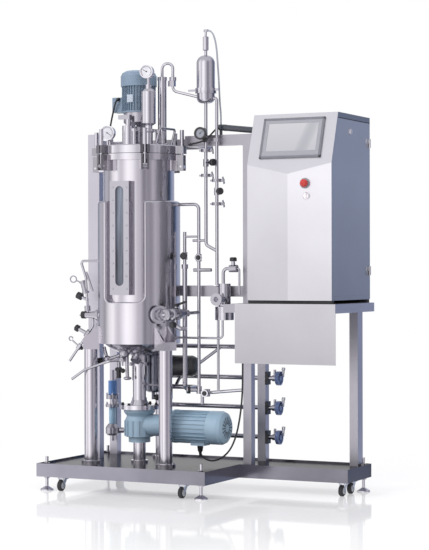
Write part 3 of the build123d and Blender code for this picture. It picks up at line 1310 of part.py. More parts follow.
# ---------------------------------------------------------------- the machine
shell = vessel_shell()
jacket = vessel_jacket()
pump = circulation_pump()
stand = cabinet_stand()
air = air_lines()
drains = drain_lines()
jacket_pipes = jacket_lines() - jacket - pump - air - stand - drains
lid = vessel_lid()

save("skid_frame", skid_frame())
save("levelling_feet", *[levelling_foot(x, y) for x, y in FEET])
for number, (x, y) in enumerate(CASTERS, 1):
    save(f"caster_fork_{number}", caster_fork(x, y))
    save(f"caster_wheel_{number}", caster_wheel(x, y))

save("cabinet_stand", stand)
save("shelf_apron", shelf_apron())
save("pipe_rack", pipe_rack())

save("vessel_shell", shell)
save("vessel_jacket", jacket)
save("vessel_lid", lid)
save("swing_bolts", *[spot * swing_bolt() for spot in bolt_spots()])
save("sight_glass_cover", sight_glass_cover())
save("sight_glass", sight_glass())
save("support_legs", *[leg(angle) for angle in LEG_ANGLES], gearbox_post())

save("agitator", agitator())
save("foam_breaker", foam_breaker())
save("top_lantern", top_lantern())
save("top_motor", top_motor())
save("top_fan_cover", Pos(VESSEL_X, VESSEL_Y, 0) * hood(TOP_MOTOR_TOP, FAN_COVER_TOP, FAN_COVER_R))
save("bottom_lantern", bottom_lantern())
save("bottom_gearbox", bottom_gearbox())
save("drive_motor", drive_motor())

save("pressure_gauges", *[piece - air for piece in pressure_gauges()])
save("catch_pot", catch_pot())
save("exhaust_cooler", exhaust_cooler() - air)
save("filter_housing", filter_housing())
save("vent_hose", vent_hose())

save("air_lines", air)
save("jacket_lines", jacket_pipes)
save("water_separator", water_separator() - jacket - air)
save("drain_lines", drains)
save("pipe_clamps", *pipe_clamps())
save("circulation_pump", pump)
save("sampling_ports", sampling_ports() - jacket - jacket_pipes)
save("leads", *leads(), junction())
for name in ("knob_air_inlet", "knob_air_bypass", "knob_jacket_supply", "knob_separator", "knob_sampling"):
    save(name, valve_knob(name))
for number, level in enumerate(DRAIN_LEVELS, 1):
    save(f"drain_handwheel_{number}", drain_handwheel(level))
save("bottom_valve_lever", bottom_valve_lever())

save("cabinet_shell", cabinet_shell())
save("cabinet_door", cabinet_door())
save("door_lock", door_lock())
save("touch_panel", touch_panel())
save("e_stop", e_stop())
save("selector_knob", selector_knob())
save("control_modules", control_modules())
rail_spots = (CABINET_FRONT + CABINET_SHEET, CABINET_BACK - CABINET_SHEET - CABINET_RAIL_WIDTH)
save("cabinet_feet", *[cabinet_rail(y) for y in rail_spots])
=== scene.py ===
"""Finishes, fittings, leads, light and camera of a pilot bioreactor on its skid.

Metres, +Z up, +X to the operator's right. The machine's solids come in as the frame, and each
piece added here rides on the body that carries it.
"""
from math import cos, pi, radians, sin

import bmesh
import bpy
from mathutils import Matrix, Vector


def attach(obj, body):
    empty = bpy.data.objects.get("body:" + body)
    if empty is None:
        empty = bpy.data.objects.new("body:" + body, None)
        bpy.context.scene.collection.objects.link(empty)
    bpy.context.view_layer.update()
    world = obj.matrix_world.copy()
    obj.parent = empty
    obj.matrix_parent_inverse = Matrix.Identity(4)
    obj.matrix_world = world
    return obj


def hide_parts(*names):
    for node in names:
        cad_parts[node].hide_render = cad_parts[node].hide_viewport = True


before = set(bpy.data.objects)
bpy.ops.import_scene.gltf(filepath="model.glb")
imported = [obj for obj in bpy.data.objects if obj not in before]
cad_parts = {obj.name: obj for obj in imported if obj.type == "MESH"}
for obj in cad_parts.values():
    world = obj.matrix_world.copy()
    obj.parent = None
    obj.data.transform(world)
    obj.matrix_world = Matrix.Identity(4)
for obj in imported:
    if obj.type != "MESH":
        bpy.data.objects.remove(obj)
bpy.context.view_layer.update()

MACHINE = "machine"
VESSEL_X, VESSEL_Y = -0.335, -0.004
VESSEL = Vector((VESSEL_X, VESSEL_Y, 0.0))
FLANGE_RADIUS, FLANGE_TOP, LID_TOP = 0.1925, 1.525, 1.565
LUG_REACH, LUG_LOW = 0.195, 1.4
LEG_ANGLES, LEG_REACH = (-151.0, -29.5, 90.0), 0.222
TRAY_FLOOR = 0.115
DRIVE_GLAND_X = -0.022
LID_GLAND_X, LID_GLAND_Z = -0.424, 1.784
PIPE_Y = 0.035
DRAIN_LEVELS = (0.498, 0.361, 0.226)
CABINET_MIDDLE, CABINET_RIGHT = 0.4795, 0.679
CABINET_FRONT, PROW, CABINET_FOLD = -0.142, 0.015, 1.4577
SLANT = 75.4 / 223.3
PANEL_LEVEL = 1.571
CASTERS = ((-0.5835, -0.270), (0.0305, -0.270), (0.6365, 0.094), (0.6365, 0.195), (-0.5835, 0.270))


# ---------------------------------------------------------------- node trees
class Signal:
    """A socket that can be added, multiplied and compared like a number."""

    def __init__(self, tree, socket):
        self.tree = tree
        self.socket = socket

    def math(self, operation, *values, clamp=False):
        """The result of one Math node on these values."""
        settings = {"operation": operation, "use_clamp": clamp}
        return self.tree.node("ShaderNodeMath", settings, dict(enumerate(values))).out()

    def __add__(self, other):
        return self.math("ADD", self, other)

    def __radd__(self, other):
        return self.math("ADD", other, self)

    def __sub__(self, other):
        return self.math("SUBTRACT", self, other)

    def __rsub__(self, other):
        return self.math("SUBTRACT", other, self)

    def __mul__(self, other):
        return self.math("MULTIPLY", self, other)

    def __rmul__(self, other):
        return self.math("MULTIPLY", other, self)

    def __truediv__(self, other):
        return self.math("DIVIDE", self, other)

    def __rtruediv__(self, other):
        return self.math("DIVIDE", other, self)

    def __gt__(self, other):
        return self.math("GREATER_THAN", self, other)

    def __lt__(self, other):
        return self.math("LESS_THAN", self, other)

    def clamped(self):
        """The value held between 0 and 1."""
        return self.math("ADD", self, 0.0, clamp=True)


class Node:
    """A node whose sockets are reached by name or place."""

    def __init__(self, tree, node):
        self.tree = tree
        self.node = node

    def out(self, key=0):
        """One of the node's outputs."""
        return Signal(self.tree, self.node.outputs[key])


class Tree:
    """A node tree with one way to add a node."""

    def __init__(self, tree):
        self.tree = tree

    def node(self, kind, settings=None, values=None):
        """Adds a node, makes its settings, then sets or links its sockets."""
        node = self.tree.nodes.new(kind)
        for name, value in (settings or {}).items():
            if name == "stops":
                self.set_stops(node.color_ramp, value)
            else:
                setattr(node, name, value)
        for key, value in (values or {}).items():
            if isinstance(value, Signal):
                self.tree.links.new(value.socket, node.inputs[key])
            else:
                node.inputs[key].default_value = value
        return Node(self, node)

    def set_stops(self, ramp, stops):
        """Gives a colour ramp these (position, colour) stops."""
        while len(ramp.elements) < len(stops):
            ramp.elements.new(0.5)
        for element, (position, colour) in zip(ramp.elements, stops):
            element.position = position
            element.color = (*colour, 1.0)


class Finish(Tree):
    """A material with one principled surface, read in object coordinates."""

    def __init__(self, name):
        self.material = bpy.data.materials.new(name)
        self.material.use_nodes = True
        self.material.node_tree.nodes.clear()
        super().__init__(self.material.node_tree)
        self.place = self.node("ShaderNodeTexCoord").out("Object")

    def noise(self, scale, detail=2.0, stretch=(1, 1, 1), roughness=0.5):
        """Noise from 0 to 1 at so many cells a metre, stretched along an axis where stretch is small."""
        mapped = self.node("ShaderNodeMapping", {}, {"Vector": self.place, "Scale": stretch}).out()
        values = {"Vector": mapped, "Scale": scale, "Detail": detail, "Roughness": roughness}
        return self.node("ShaderNodeTexNoise", {}, values).out()

    def axis(self, index):
        """The place along X, Y or Z, in metres."""
        return self.node("ShaderNodeSeparateXYZ", {}, {0: self.place}).out(index)

    def mix(self, factor, first, second):
        """A colour between two colours."""
        values = {0: factor, 6: self.colour(first), 7: self.colour(second)}
        return self.node("ShaderNodeMix", {"data_type": "RGBA"}, values).out(2)

    def colour(self, value):
        """A linked colour as it is, or plain numbers with their alpha."""
        return value if isinstance(value, Signal) else (*value, 1.0)

    def bump(self, height, distance, strength=1.0):
        """A normal that rises by so many metres where the height is 1."""
        values = {"Height": height, "Distance": distance, "Strength": strength}
        return self.node("ShaderNodeBump", {}, values).out()

    def surface(self, **sockets):
        """Ends the material in a principled surface with these sockets."""
        named = {key.replace("_", " ").title(): value for key, value in sockets.items()}
        if "Base Color" in named:
            named["Base Color"] = self.colour(named["Base Color"])
        shader = self.node("ShaderNodeBsdfPrincipled", {}, named).out()
        self.node("ShaderNodeOutputMaterial", {}, {0: shader})
        return self.material


# ---------------------------------------------------------------- finishes
GRAIN_CELLS, CLOUD_CELLS, MARK_CELLS = 900.0, 5.0, 38.0
GRAIN_SHADE, GRAIN_DEPTH, MARK_GLOSS = 0.06, 0.00004, 0.05
BRIGHTEST = 2.0


def steel(
    name, colour, roughness, grain, clouds=0.0, spread=0.06, fall=None, facing=(0, 0, 0), lugs=0.0, edge=1.0,
):
    """Stainless sheet or tube: fine grain across the stretch, slow clouds in tone, faint handling marks.

    fall is an axis, the places along it where the tone is lowest and highest, and the tone's range
    between them: a painted gradient of light and shade. facing is how much lighter the sides that
    face +X, +Y and +Z are painted, by their world normal: painted light and shade by side. lugs is how
    much duller the cast lugs round the vessel's flange are than its wall. edge is how bright the metal
    stays when seen along its face.
    """
    finish = Finish(name)
    fine = finish.noise(GRAIN_CELLS, 3.0, grain)
    slow = finish.noise(CLOUD_CELLS, 3.0)
    marks = finish.noise(MARK_CELLS, 4.0, roughness=0.62)
    shade = (slow - 0.5) * clouds + (fine - 0.5) * GRAIN_SHADE + 1.0
    # Painted light and shade: the tone rises along one axis, from its low place to its high place.
    if fall:
        axis, low, high, span = fall
        shade = shade + (((finish.axis(axis) - low) / (high - low)).clamped() - 0.5) * span
    # Painted light and shade: each side is painted lighter or darker by the way its world normal faces.
    if any(facing):
        normal = finish.node("ShaderNodeNewGeometry").out("Normal")
        lift = finish.node("ShaderNodeVectorMath", {"operation": "DOT_PRODUCT"}, {0: normal, 1: facing})
        shade = shade + lift.out("Value")
    if lugs:
        away, aside = finish.axis(0) - VESSEL_X, finish.axis(1) - VESSEL_Y
        on_lug = (away * away + aside * aside > LUG_REACH ** 2) * (finish.axis(2) > LUG_LOW)
        shade = shade * (1.0 - on_lug * lugs)
    brightest = tuple(BRIGHTEST * c for c in colour)
    middle = roughness - 0.5 * (spread + MARK_GLOSS)
    return finish.surface(
        base_color=finish.mix((shade * (1 / BRIGHTEST)).clamped(), (0.0, 0.0, 0.0), brightest),
        metallic=1.0,
        roughness=fine * spread + marks * MARK_GLOSS + middle,
        specular_tint=(edge, edge, edge, 1.0),
        normal=finish.bump(fine, GRAIN_DEPTH, 0.35),
    )


def paint(name, colour, roughness=0.42):
    """Sprayed motor enamel with a faint orange peel and dust in the low places."""
    finish = Finish(name)
    peel = finish.noise(420.0, 2.0)
    slow = finish.noise(11.0, 3.0)
    dusty = tuple(min(1.0, 0.90 * c + 0.07) for c in colour)
    return finish.surface(
        base_color=finish.mix(((slow - 0.35) * 1.4).clamped(), colour, dusty),
        roughness=slow * 0.14 + roughness - 0.07,
        coat_weight=0.25,
        coat_roughness=0.2,
        normal=finish.bump(peel, 0.0002, 0.24),
    )


def plastic(name, colour, roughness=0.35, grain=0.2):
    """Moulded plastic with a fine spark texture and slightly worn tone."""
    finish = Finish(name)
    spark = finish.noise(1500.0, 2.0)
    slow = finish.noise(24.0, 2.0)
    worn = tuple(min(1.0, 1.10 * c + 0.012) for c in colour)
    return finish.surface(
        base_color=finish.mix(slow, colour, worn),
        roughness=slow * 0.12 + roughness - 0.06,
        normal=finish.bump(spark, 0.0001, grain),
    )


def rubber(name, colour):
    """Matt black rubber with a dusty bloom."""
    finish = Finish(name)
    bloom = finish.noise(60.0, 4.0)
    return finish.surface(
        base_color=finish.mix(bloom, colour, tuple(c * 1.5 + 0.01 for c in colour)),
        roughness=bloom * 0.2 + 0.6,
        normal=finish.bump(bloom, 0.0003, 0.2),
    )


def sight_pane():
    """Dark glass over the unlit vessel, with painted light streaks and painted light towards its upper part.
    """
    finish = Finish("sight_pane")
    streak = finish.noise(70.0, 3.0, (1.0, 1.0, 0.06))
    drops = finish.noise(160.0, 2.0)
    # Painted light: streaks and a lighter upper part stand in for reflections on the glass.
    painted_upper_light = ((finish.axis(2) - 1.06) / 0.12).clamped()
    light = (streak * 1.5 - 0.35 + painted_upper_light * 0.30).clamped()
    return finish.surface(
        base_color=finish.mix(light, (0.012, 0.015, 0.024), (0.20, 0.23, 0.29)),
        roughness=drops * 0.10 + 0.04,
        metallic=0.25,
        coat_weight=1.0,
        coat_roughness=0.04,
        normal=finish.bump(drops, 0.0002, 0.15),
    )


def dial_face():
    """Off-white dial enamel under a faint gloss, clouded a little."""
    finish = Finish("dial_face")
    slow = finish.noise(30.0, 2.0)
    return finish.surface(
        base_color=finish.mix(slow, (0.52, 0.51, 0.56), (0.66, 0.65, 0.69)),
        roughness=slow * 0.1 + 0.3,
        coat_weight=0.6,
        coat_roughness=0.05,
    )


def screen_glow():
    """A lit panel screen: a pale page with a soft sweep of window light across its right side."""
    finish = Finish("screen_glow")
    sweep = (finish.axis(0) - 0.549 - (finish.axis(2) - PANEL_LEVEL) * 0.35) / 0.036
    band = (1.0 - sweep * sweep).clamped()
    height = ((finish.axis(2) - 1.50) / 0.16).clamped()
    page = finish.mix(height, (0.52, 0.515, 0.545), (0.62, 0.615, 0.64))
    return finish.surface(
        base_color=(0.05, 0.05, 0.06),
        roughness=0.2,
        coat_weight=0.5,
        coat_roughness=0.08,
        emission_color=finish.mix(band * 0.6, page, (0.34, 0.34, 0.38)),
        emission_strength=0.92,
    )


UPRIGHT_GRAIN, LEVEL_GRAIN, NO_GRAIN = (1.0, 1.0, 0.02), (0.02, 0.02, 1.0), (1.0, 1.0, 1.0)
CAST_DULLER = 0.45
SATIN = steel("satin_steel", (0.62, 0.60, 0.64), 0.17, UPRIGHT_GRAIN, 0.10, lugs=CAST_DULLER)
LID = steel("lid_steel", (0.61, 0.595, 0.635), 0.13, LEVEL_GRAIN, 0.15, lugs=CAST_DULLER)
TURNED = steel("turned_steel", (0.61, 0.595, 0.635), 0.13, LEVEL_GRAIN, 0.15)
PIPE = steel("pipe_steel", (0.54, 0.53, 0.57), 0.13, (0.3, 0.3, 1.0), 0.20)
# Painted shade: the cabinet sheet is painted darker towards the bottom and lighter towards the top.
SHEET = steel(
    "cabinet_steel", (0.60, 0.595, 0.62), 0.36, UPRIGHT_GRAIN, 0.15, 0.05,
    fall=(2, 0.55, 1.40, 0.45),
)
# Painted light: the frame tubes are painted lighter towards the left and on the sides that face +X.
TUBE = steel(
    "frame_tube_steel", (0.50, 0.485, 0.53), 0.40, UPRIGHT_GRAIN, 0.20,
    fall=(0, -0.20, -0.60, 0.25), facing=(0.55, 0, 0),
)
# Painted light and shade: the tray is painted darker on faces turned up, lighter towards the left and on +X
# sides.
TRAY = steel(
    "tray_steel", (0.33, 0.325, 0.37), 0.18, (0.015, 0.6, 1.0), 0.50,
    fall=(0, 0.45, -0.70, 0.75), facing=(0.1, 0, -0.62), edge=0.42,
)
CAST = steel("cast_steel", (0.44, 0.43, 0.47), 0.22, NO_GRAIN, 0.40)
ZINC = steel("zinc_plate", (0.62, 0.63, 0.66), 0.22, NO_GRAIN, 0.25)
DULL_STEEL = steel("dull_steel", (0.22, 0.23, 0.27), 0.20, UPRIGHT_GRAIN, 0.30)
# Painted light: sides of the chrome that face +X are painted lighter, those facing -X darker.
CHROME = steel("soft_chrome", (0.92, 0.88, 0.90), 0.48, NO_GRAIN, facing=(0.5, 0, 0))
COVER = steel("cover_steel", (0.40, 0.41, 0.45), 0.36, LEVEL_GRAIN, 0.15)
MOTOR_BLUE = paint("motor_enamel", (0.155, 0.215, 0.290))
GEAR_BLUE = paint("gear_enamel", (0.265, 0.375, 0.475), 0.36)
PUMP_BLACK = paint("pump_enamel", (0.016, 0.017, 0.021), 0.3)
BLACK = plastic("black_knob", (0.012, 0.012, 0.015), 0.24)
BLUE = plastic("blue_handwheel", (0.120, 0.165, 0.320), 0.33)
RED = plastic("red_mushroom", (0.430, 0.026, 0.020), 0.22, 0.05)
PANEL = plastic("panel_bezel", (0.255, 0.255, 0.285), 0.4)
MODULE = plastic("module_grey", (0.42, 0.44, 0.46), 0.5)
RUBBER = rubber("black_rubber", (0.018, 0.018, 0.020))
GREY_HOSE = plastic("grey_hose", (0.26, 0.27, 0.31), 0.4)
FRAME_GREY = plastic("panel_frame", (0.135, 0.138, 0.160), 0.35)
PLATE = paint("plate_enamel", (0.36, 0.41, 0.48), 0.4)
PIPE_BLUE = paint("pipe_blue_enamel", (0.085, 0.200, 0.480), 0.4)
PALE_BLUE = paint("pale_blue_enamel", (0.300, 0.480, 0.640), 0.4)
DARK = plastic("dark_slot", (0.010, 0.011, 0.015), 0.6)
GREY_DIAL = plastic("grey_dial", (0.24, 0.25, 0.29), 0.35, 0.05)
CONDUIT = plastic("conduit_grey", (0.040, 0.044, 0.058), 0.28)
DIAL = dial_face()
SCREEN = screen_glow()
PANE = sight_pane()

NODE_FINISH = {
    "skid_frame": TRAY, "levelling_feet": TURNED,
    "cabinet_stand": TUBE, "shelf_apron": SHEET, "pipe_rack": TUBE,
    "vessel_shell": SATIN, "vessel_jacket": SATIN, "vessel_lid": LID, "swing_bolts": TURNED,
    "sight_glass_cover": TURNED, "sight_glass": PANE, "support_legs": SATIN,
    "agitator": TURNED, "foam_breaker": TURNED,
    "top_lantern": CAST, "top_motor": MOTOR_BLUE, "top_fan_cover": MOTOR_BLUE,
    "bottom_lantern": TURNED, "bottom_gearbox": GEAR_BLUE, "drive_motor": GEAR_BLUE,
    "pressure_gauges": TURNED, "catch_pot": TURNED, "exhaust_cooler": TURNED,
    "filter_housing": TURNED, "vent_hose": RUBBER,
    "air_lines": PIPE, "jacket_lines": PIPE, "water_separator": PIPE, "drain_lines": PIPE,
    "pipe_clamps": CAST, "circulation_pump": PUMP_BLACK,
    "sampling_ports": PIPE, "bottom_valve_lever": PIPE, "leads": RUBBER,
    "cabinet_shell": SHEET, "cabinet_door": SHEET, "door_lock": CHROME, "touch_panel": PANEL,
    "e_stop": RED, "selector_knob": CHROME, "control_modules": MODULE, "cabinet_feet": RUBBER,
}
REPEATED_FINISH = {"knob_": BLACK, "drain_handwheel": BLUE, "caster_fork": ZINC, "caster_wheel": RUBBER}


def dress_nodes():
    """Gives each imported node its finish."""
    for name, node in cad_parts.items():
        repeated = [finish for start, finish in REPEATED_FINISH.items() if name.startswith(start)]
        finish = repeated[0] if repeated else NODE_FINISH[name]
        node.data.materials.clear()
        node.data.materials.append(finish)


# ---------------------------------------------------------------- mesh pieces
def filled_mesh(name, fill):
    """A mesh that fill makes in a bmesh, with its faces turned outwards."""
    build = bmesh.new()
    fill(build)
    bmesh.ops.recalc_face_normals(build, faces=build.faces)
    mesh = bpy.data.meshes.new(name)
    build.to_mesh(mesh)
    build.free()
    return mesh


def linked(name, data):
    """An object with this data, in the scene."""
    piece = bpy.data.objects.new(name, data)
    bpy.context.collection.objects.link(piece)
    return piece


def put(name, fill, finish, body=MACHINE, smooth=True):
    """Makes a piece from what fill adds to a bmesh, and lets it ride on a body."""
    mesh = filled_mesh(name, fill)
    if smooth:
        mesh.shade_smooth()
        mesh.set_sharp_from_angle(angle=radians(32))
    piece = linked(name, mesh)
    mesh.materials.append(finish)
    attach(piece, body)
    return piece


def frame_on(place, aim):
    """The matrix that carries +Z at the origin to aim at place."""
    turn = Vector(aim).to_track_quat("Z", "Y").to_matrix().to_4x4()
    return Matrix.Translation(Vector(place)) @ turn


def drum(radius, low, high):
    """The profile of a plain round bar between two heights."""
    return [(0, low), (radius, low), (radius, high), (0, high)]


def closed(*corners):
    """The profile of a ring, which ends where it starts."""
    return [*corners, corners[0]]


def add_turned(build, profile, matrix, steps=48):
    """Adds a turned solid whose (radius, height) profile starts and ends on the axis or closes on itself."""
    turns = [2 * pi * i / steps for i in range(steps)]
    rings = []
    for radius, height in profile:
        around = turns if radius else [0.0]
        places = [Vector((radius * cos(t), radius * sin(t), height)) for t in around]
        rings.append([build.verts.new(matrix @ place) for place in places])
    for low, high in zip(rings, rings[1:]):
        for i in range(steps):
            j = (i + 1) % steps
            corners = [low[i % len(low)], low[j % len(low)], high[j % len(high)], high[i % len(high)]]
            unique = list(dict.fromkeys(corners))
            if len(unique) > 2:
                build.faces.new(unique)


def add_box(build, low, high, matrix=Matrix()):
    """Adds a box between two opposite corners."""
    size = [b - a for a, b in zip(low, high)]
    middle = [(a + b) / 2 for a, b in zip(low, high)]
    spread = Matrix.Translation(middle) @ Matrix.Diagonal((*size, 1.0))
    bmesh.ops.create_cube(build, size=1.0, matrix=matrix @ spread)


def add_rod(build, start, end, radius, far=None, steps=18):
    """Adds a rod from start to end, tapering to the far radius if one is given."""
    run = Vector(end) - Vector(start)
    far = radius if far is None else far
    profile = [(0, 0), (radius, 0), (far, run.length), (0, run.length)]
    add_turned(build, profile, frame_on(start, run), steps)


def add_ball(build, centre, radius):
    """Adds a ball."""
    place = Matrix.Translation(Vector(centre))
    bmesh.ops.create_uvsphere(build, u_segments=18, v_segments=12, radius=radius, matrix=place)


def add_tube(build, points, radius, steps=14):
    """Adds a tube with round corners along the points."""
    for start, end in zip(points, points[1:]):
        add_rod(build, start, end, radius, steps=steps)
    for corner in points[1:-1]:
        add_ball(build, corner, radius)


def add_loop(build, centre, aim, radius, wire, turn=2 * pi, steps=14):
    """Adds a wire ring, or part of one."""
    place = frame_on(centre, aim)
    angles = [turn * i / steps for i in range(steps + 1)]
    spots = [place @ Vector((radius * cos(a), radius * sin(a), 0)) for a in angles]
    add_tube(build, spots, wire, 8)


def along(angle):
    """A level direction at so many degrees from +X."""
    return Vector((cos(radians(angle)), sin(radians(angle)), 0.0))


def on_axis(height):
    """The matrix that carries the origin to the vessel's axis at a height."""
    return Matrix.Translation(VESSEL + Vector((0, 0, height)))


# ---------------------------------------------------------------- repeats
RING_INPUTS = (
    ("Part", "NodeSocketGeometry"), ("Count", "NodeSocketInt"), ("Reach", "NodeSocketFloat"),
    ("Start", "NodeSocketFloat"), ("Step", "NodeSocketFloat"), ("Wander", "NodeSocketFloat"),
    ("Rise", "NodeSocketFloat"), ("Seed", "NodeSocketInt"), ("Finish", "NodeSocketMaterial"),
)
RING_DEFAULTS = {
    "Count": 6, "Reach": 0.05, "Start": 0.0, "Step": pi / 3, "Wander": 0.0, "Rise": 0.0, "Seed": 4,
}


def ring_tree():
    """A tree that sets copies of its part round an arc, each turned a little at random about its own axis."""
    group = bpy.data.node_groups.new("ring_of_parts", "GeometryNodeTree")
    for name, kind in RING_INPUTS:
        group.interface.new_socket(name, in_out="INPUT", socket_type=kind)
    group.interface.new_socket("Geometry", in_out="OUTPUT", socket_type="NodeSocketGeometry")
    tree = Tree(group)
    given = tree.node("NodeGroupInput")
    index = tree.node("GeometryNodeInputIndex").out()
    angle = index * given.out("Step") + given.out("Start")
    x = angle.math("COSINE", angle) * given.out("Reach")
    y = angle.math("SINE", angle) * given.out("Reach")
    place = tree.node("ShaderNodeCombineXYZ", {}, {0: x, 1: y, 2: index * given.out("Rise")}).out()
    spots = {"Count": given.out("Count"), "Position": place}
    points = tree.node("GeometryNodePoints", {}, spots).out()
    wander = {"Max": given.out("Wander"), "ID": index, "Seed": given.out("Seed")}
    drift = tree.node("FunctionNodeRandomValue", {"data_type": "FLOAT"}, wander).out("Value")
    turn = tree.node("ShaderNodeCombineXYZ", {}, {2: angle + drift}).out()
    copying = {"Points": points, "Instance": given.out("Part"), "Rotation": turn}
    copies = tree.node("GeometryNodeInstanceOnPoints", {}, copying).out()
    real = tree.node("GeometryNodeRealizeInstances", {}, {"Geometry": copies}).out()
    dressing = {"Geometry": real, "Material": given.out("Finish")}
    dressed = tree.node("GeometryNodeSetMaterial", {}, dressing).out()
    tree.node("NodeGroupOutput", {}, {0: dressed})
    return group


RING_TREE = ring_tree()


def ring(name, part, matrix, finish, **inputs):
    """A ring, an arc or a climbing row of one small part, set by the ring tree and placed by a matrix."""
    maker = linked(name + "_maker", filled_mesh(name + "_part", part))
    modifier = maker.modifiers.new("ring", "NODES")
    modifier.node_group = RING_TREE
    values = {**RING_DEFAULTS, **inputs, "Finish": finish}
    for item in RING_TREE.interface.items_tree:
        if item.in_out == "INPUT" and item.name in values:
            modifier[item.identifier] = values[item.name]
    settled = maker.evaluated_get(bpy.context.evaluated_depsgraph_get())
    made = bpy.data.meshes.new_from_object(settled)
    bpy.data.objects.remove(maker)
    made.transform(matrix)
    made.name = name
    made.shade_smooth()
    made.set_sharp_from_angle(angle=radians(30))
    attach(linked(name, made), MACHINE)


def hex_head(size, height):
    """A hexagon head on its washer, standing on Z = 0."""
    def fill(build):
        low, shoulder = 0.1 * height, 0.9 * height
        add_turned(build, drum(1.35 * size, 0, 2 * low), Matrix(), 16)
        head = [(0, low), (size, low), (size, shoulder), (0.8 * size, height), (0, height)]
        add_turned(build, head, Matrix(), 6)
    return fill


def face_screw(size, height):
    """A round screw head with a hexagon recess, facing -Y."""
    def fill(build):
        side = [(0, 0), (size, 0), (size, 0.7 * height), (0.8 * size, height), (0.45 * size, height)]
        recess = [(0.45 * size, 0.4 * height), (0, 0.4 * height)]
        add_turned(build, side + recess, Matrix(), 12)
        forward = Matrix.Rotation(radians(90), 3, "X")
        bmesh.ops.rotate(build, verts=build.verts, cent=(0, 0, 0), matrix=forward)
    return fill


def bar(low, high):
    """One small box."""
    def fill(build):
        add_box(build, low, high)
    return fill


# ---------------------------------------------------------------- vessel fittings
def vessel_bolts():
    """The lid's gasket, the bolts of lantern, motor, gearbox and legs, and the sight glass cover's screws."""
    inner, top = 0.170, FLANGE_TOP + 0.002
    rim = closed((inner, FLANGE_TOP), (FLANGE_RADIUS, FLANGE_TOP), (FLANGE_RADIUS, top), (inner, top))

    def gasket(build):
        add_turned(build, rim, on_axis(0.0), 96)

    put("lid_gasket", gasket, RUBBER)
    small = hex_head(0.0055, 0.007)
    ring("lantern_bolts", small, on_axis(LID_TOP + 0.010), ZINC, Count=6, Reach=0.051, Wander=1.0)
    ring("motor_flange_bolts", small, on_axis(1.6535), ZINC, Count=4, Reach=0.056, Step=pi / 2, Start=0.3)
    large = hex_head(0.0065, 0.009)
    ring("gearbox_bolts", large, on_axis(0.380), DARK, Count=6, Reach=0.078, Start=0.35, Wander=1.0)
    for number, angle in enumerate(LEG_ANGLES, 1):
        foot = Matrix.Translation(VESSEL + along(angle) * LEG_REACH + Vector((0, 0, TRAY_FLOOR + 0.010)))
        bolt = hex_head(0.0045, 0.006)
        ring(f"leg_bolts_{number}", bolt, foot, ZINC, Count=4, Reach=0.0382, Step=pi / 2, Start=0.6)
    cover_x, cover_y, lowest = -0.324, -0.210, 0.914
    for number, x in enumerate((cover_x - 0.0352, cover_x + 0.0352), 1):
        row = Matrix.Translation((x, cover_y, lowest))
        screw = face_screw(0.0052, 0.004)
        ring(f"cover_screws_{number}", screw, row, ZINC, Count=9, Reach=0.0, Step=0.0, Rise=0.057)


GAUGES = (
    ("lid_gauge", (-0.450, -0.090, 1.627), 0.034, -2.2, None),
    ("pot_gauge", (-0.243, -0.095, 1.897), 0.031, 1.1, None),
    ("rack_gauge", (-0.020, 0.003, 1.616), 0.028, -0.8, BLACK),
)


def gauge_dials():
    """Pale dials with ticks and a needle, and the rack gauge's grey dial and black case."""
    aim = along(-80)
    for name, centre, radius, reading, case in GAUGES:
        face = frame_on(Vector(centre) + aim * 0.010, aim)
        dial_r = radius - 0.0042

        def dial(build):
            add_turned(build, drum(dial_r, 0, 0.0005), face, 48)

        def needle(build):
            swing = face @ Matrix.Rotation(reading, 4, "Z")
            add_box(build, (-0.0009, -0.005, 0.0009), (0.0009, 0.7 * dial_r, 0.0013), swing)
            add_turned(build, drum(0.0028, 0, 0.0018), face, 16)

        put(f"{name}_dial", dial, GREY_DIAL if case else DIAL)
        put(f"{name}_needle", needle, DARK, smooth=False)
        tick = bar((-0.0026, -0.0006, 0.0005), (0.0026, 0.0006, 0.0008))
        start, step = radians(-45), radians(10)
        ring(f"{name}_ticks", tick, face, DARK, Count=28, Reach=0.86 * dial_r, Start=start, Step=step)
        if case:
            def sleeve(build):
                low, high, outer, inner = -0.0232, 0.0034, radius + 0.0006, radius - 0.0075
                rim = [(inner, high), (outer - 0.001, high), (outer, high - 0.001), (outer, low), (0, low)]
                add_turned(build, [(0, low + 0.001), (inner, 0.0), *rim], face, 48)

            put(f"{name}_case", sleeve, case)


def motor_details():
    """The lid motor's bare plate, the fan slots of both motors, and their cable glands."""
    def plate(build):
        middle = Matrix.Translation(VESSEL - Vector((0.0030, 0, 0)))
        add_box(build, (-0.0150, -0.0800, 1.7640), (0.0150, -0.0700, 1.7990), middle)

    put("motor_plate", plate, PLATE)
    slot_half, slot_height = 0.0022, 0.0006
    drive_end = frame_on((0.114, VESSEL_Y, 0.287), (1, 0, 0))
    lid_end = on_axis(1.911)
    # The fan slots are near-black bars laid on the fan covers: painted shade of the openings.
    for name, long, place, count, reach in (
        ("drive_fan_slots", 0.016, drive_end, 16, 0.034), ("lid_motor_fan_slots", 0.022, lid_end, 20, 0.036),
    ):
        slot = bar((-long, -slot_half, 0), (long, slot_half, slot_height))
        ring(name, slot, place, DARK, Count=count, Reach=reach, Step=2 * pi / count)

    def gland(build):
        down = frame_on((DRIVE_GLAND_X, VESSEL_Y, 0.2046), (0, 0, -1))
        nut = [(0, 0), (0.0135, 0), (0.0135, 0.013), (0.0118, 0.016), (0.0118, 0.023)]
        sleeve = [(0.0070, 0.032), (0.0050, 0.050), (0, 0.050)]
        add_turned(build, nut + sleeve, down, 24)

    def small_gland(build):
        out = frame_on((LID_GLAND_X, -0.0345, LID_GLAND_Z), (0, -1, 0))
        profile = [(0, 0), (0.0085, 0), (0.0085, 0.004), (0.0064, 0.007), (0.0046, 0.015), (0, 0.015)]
        add_turned(build, profile, out, 20)

    put("drive_gland", gland, BLACK)
    put("lid_motor_gland", small_gland, BLACK)


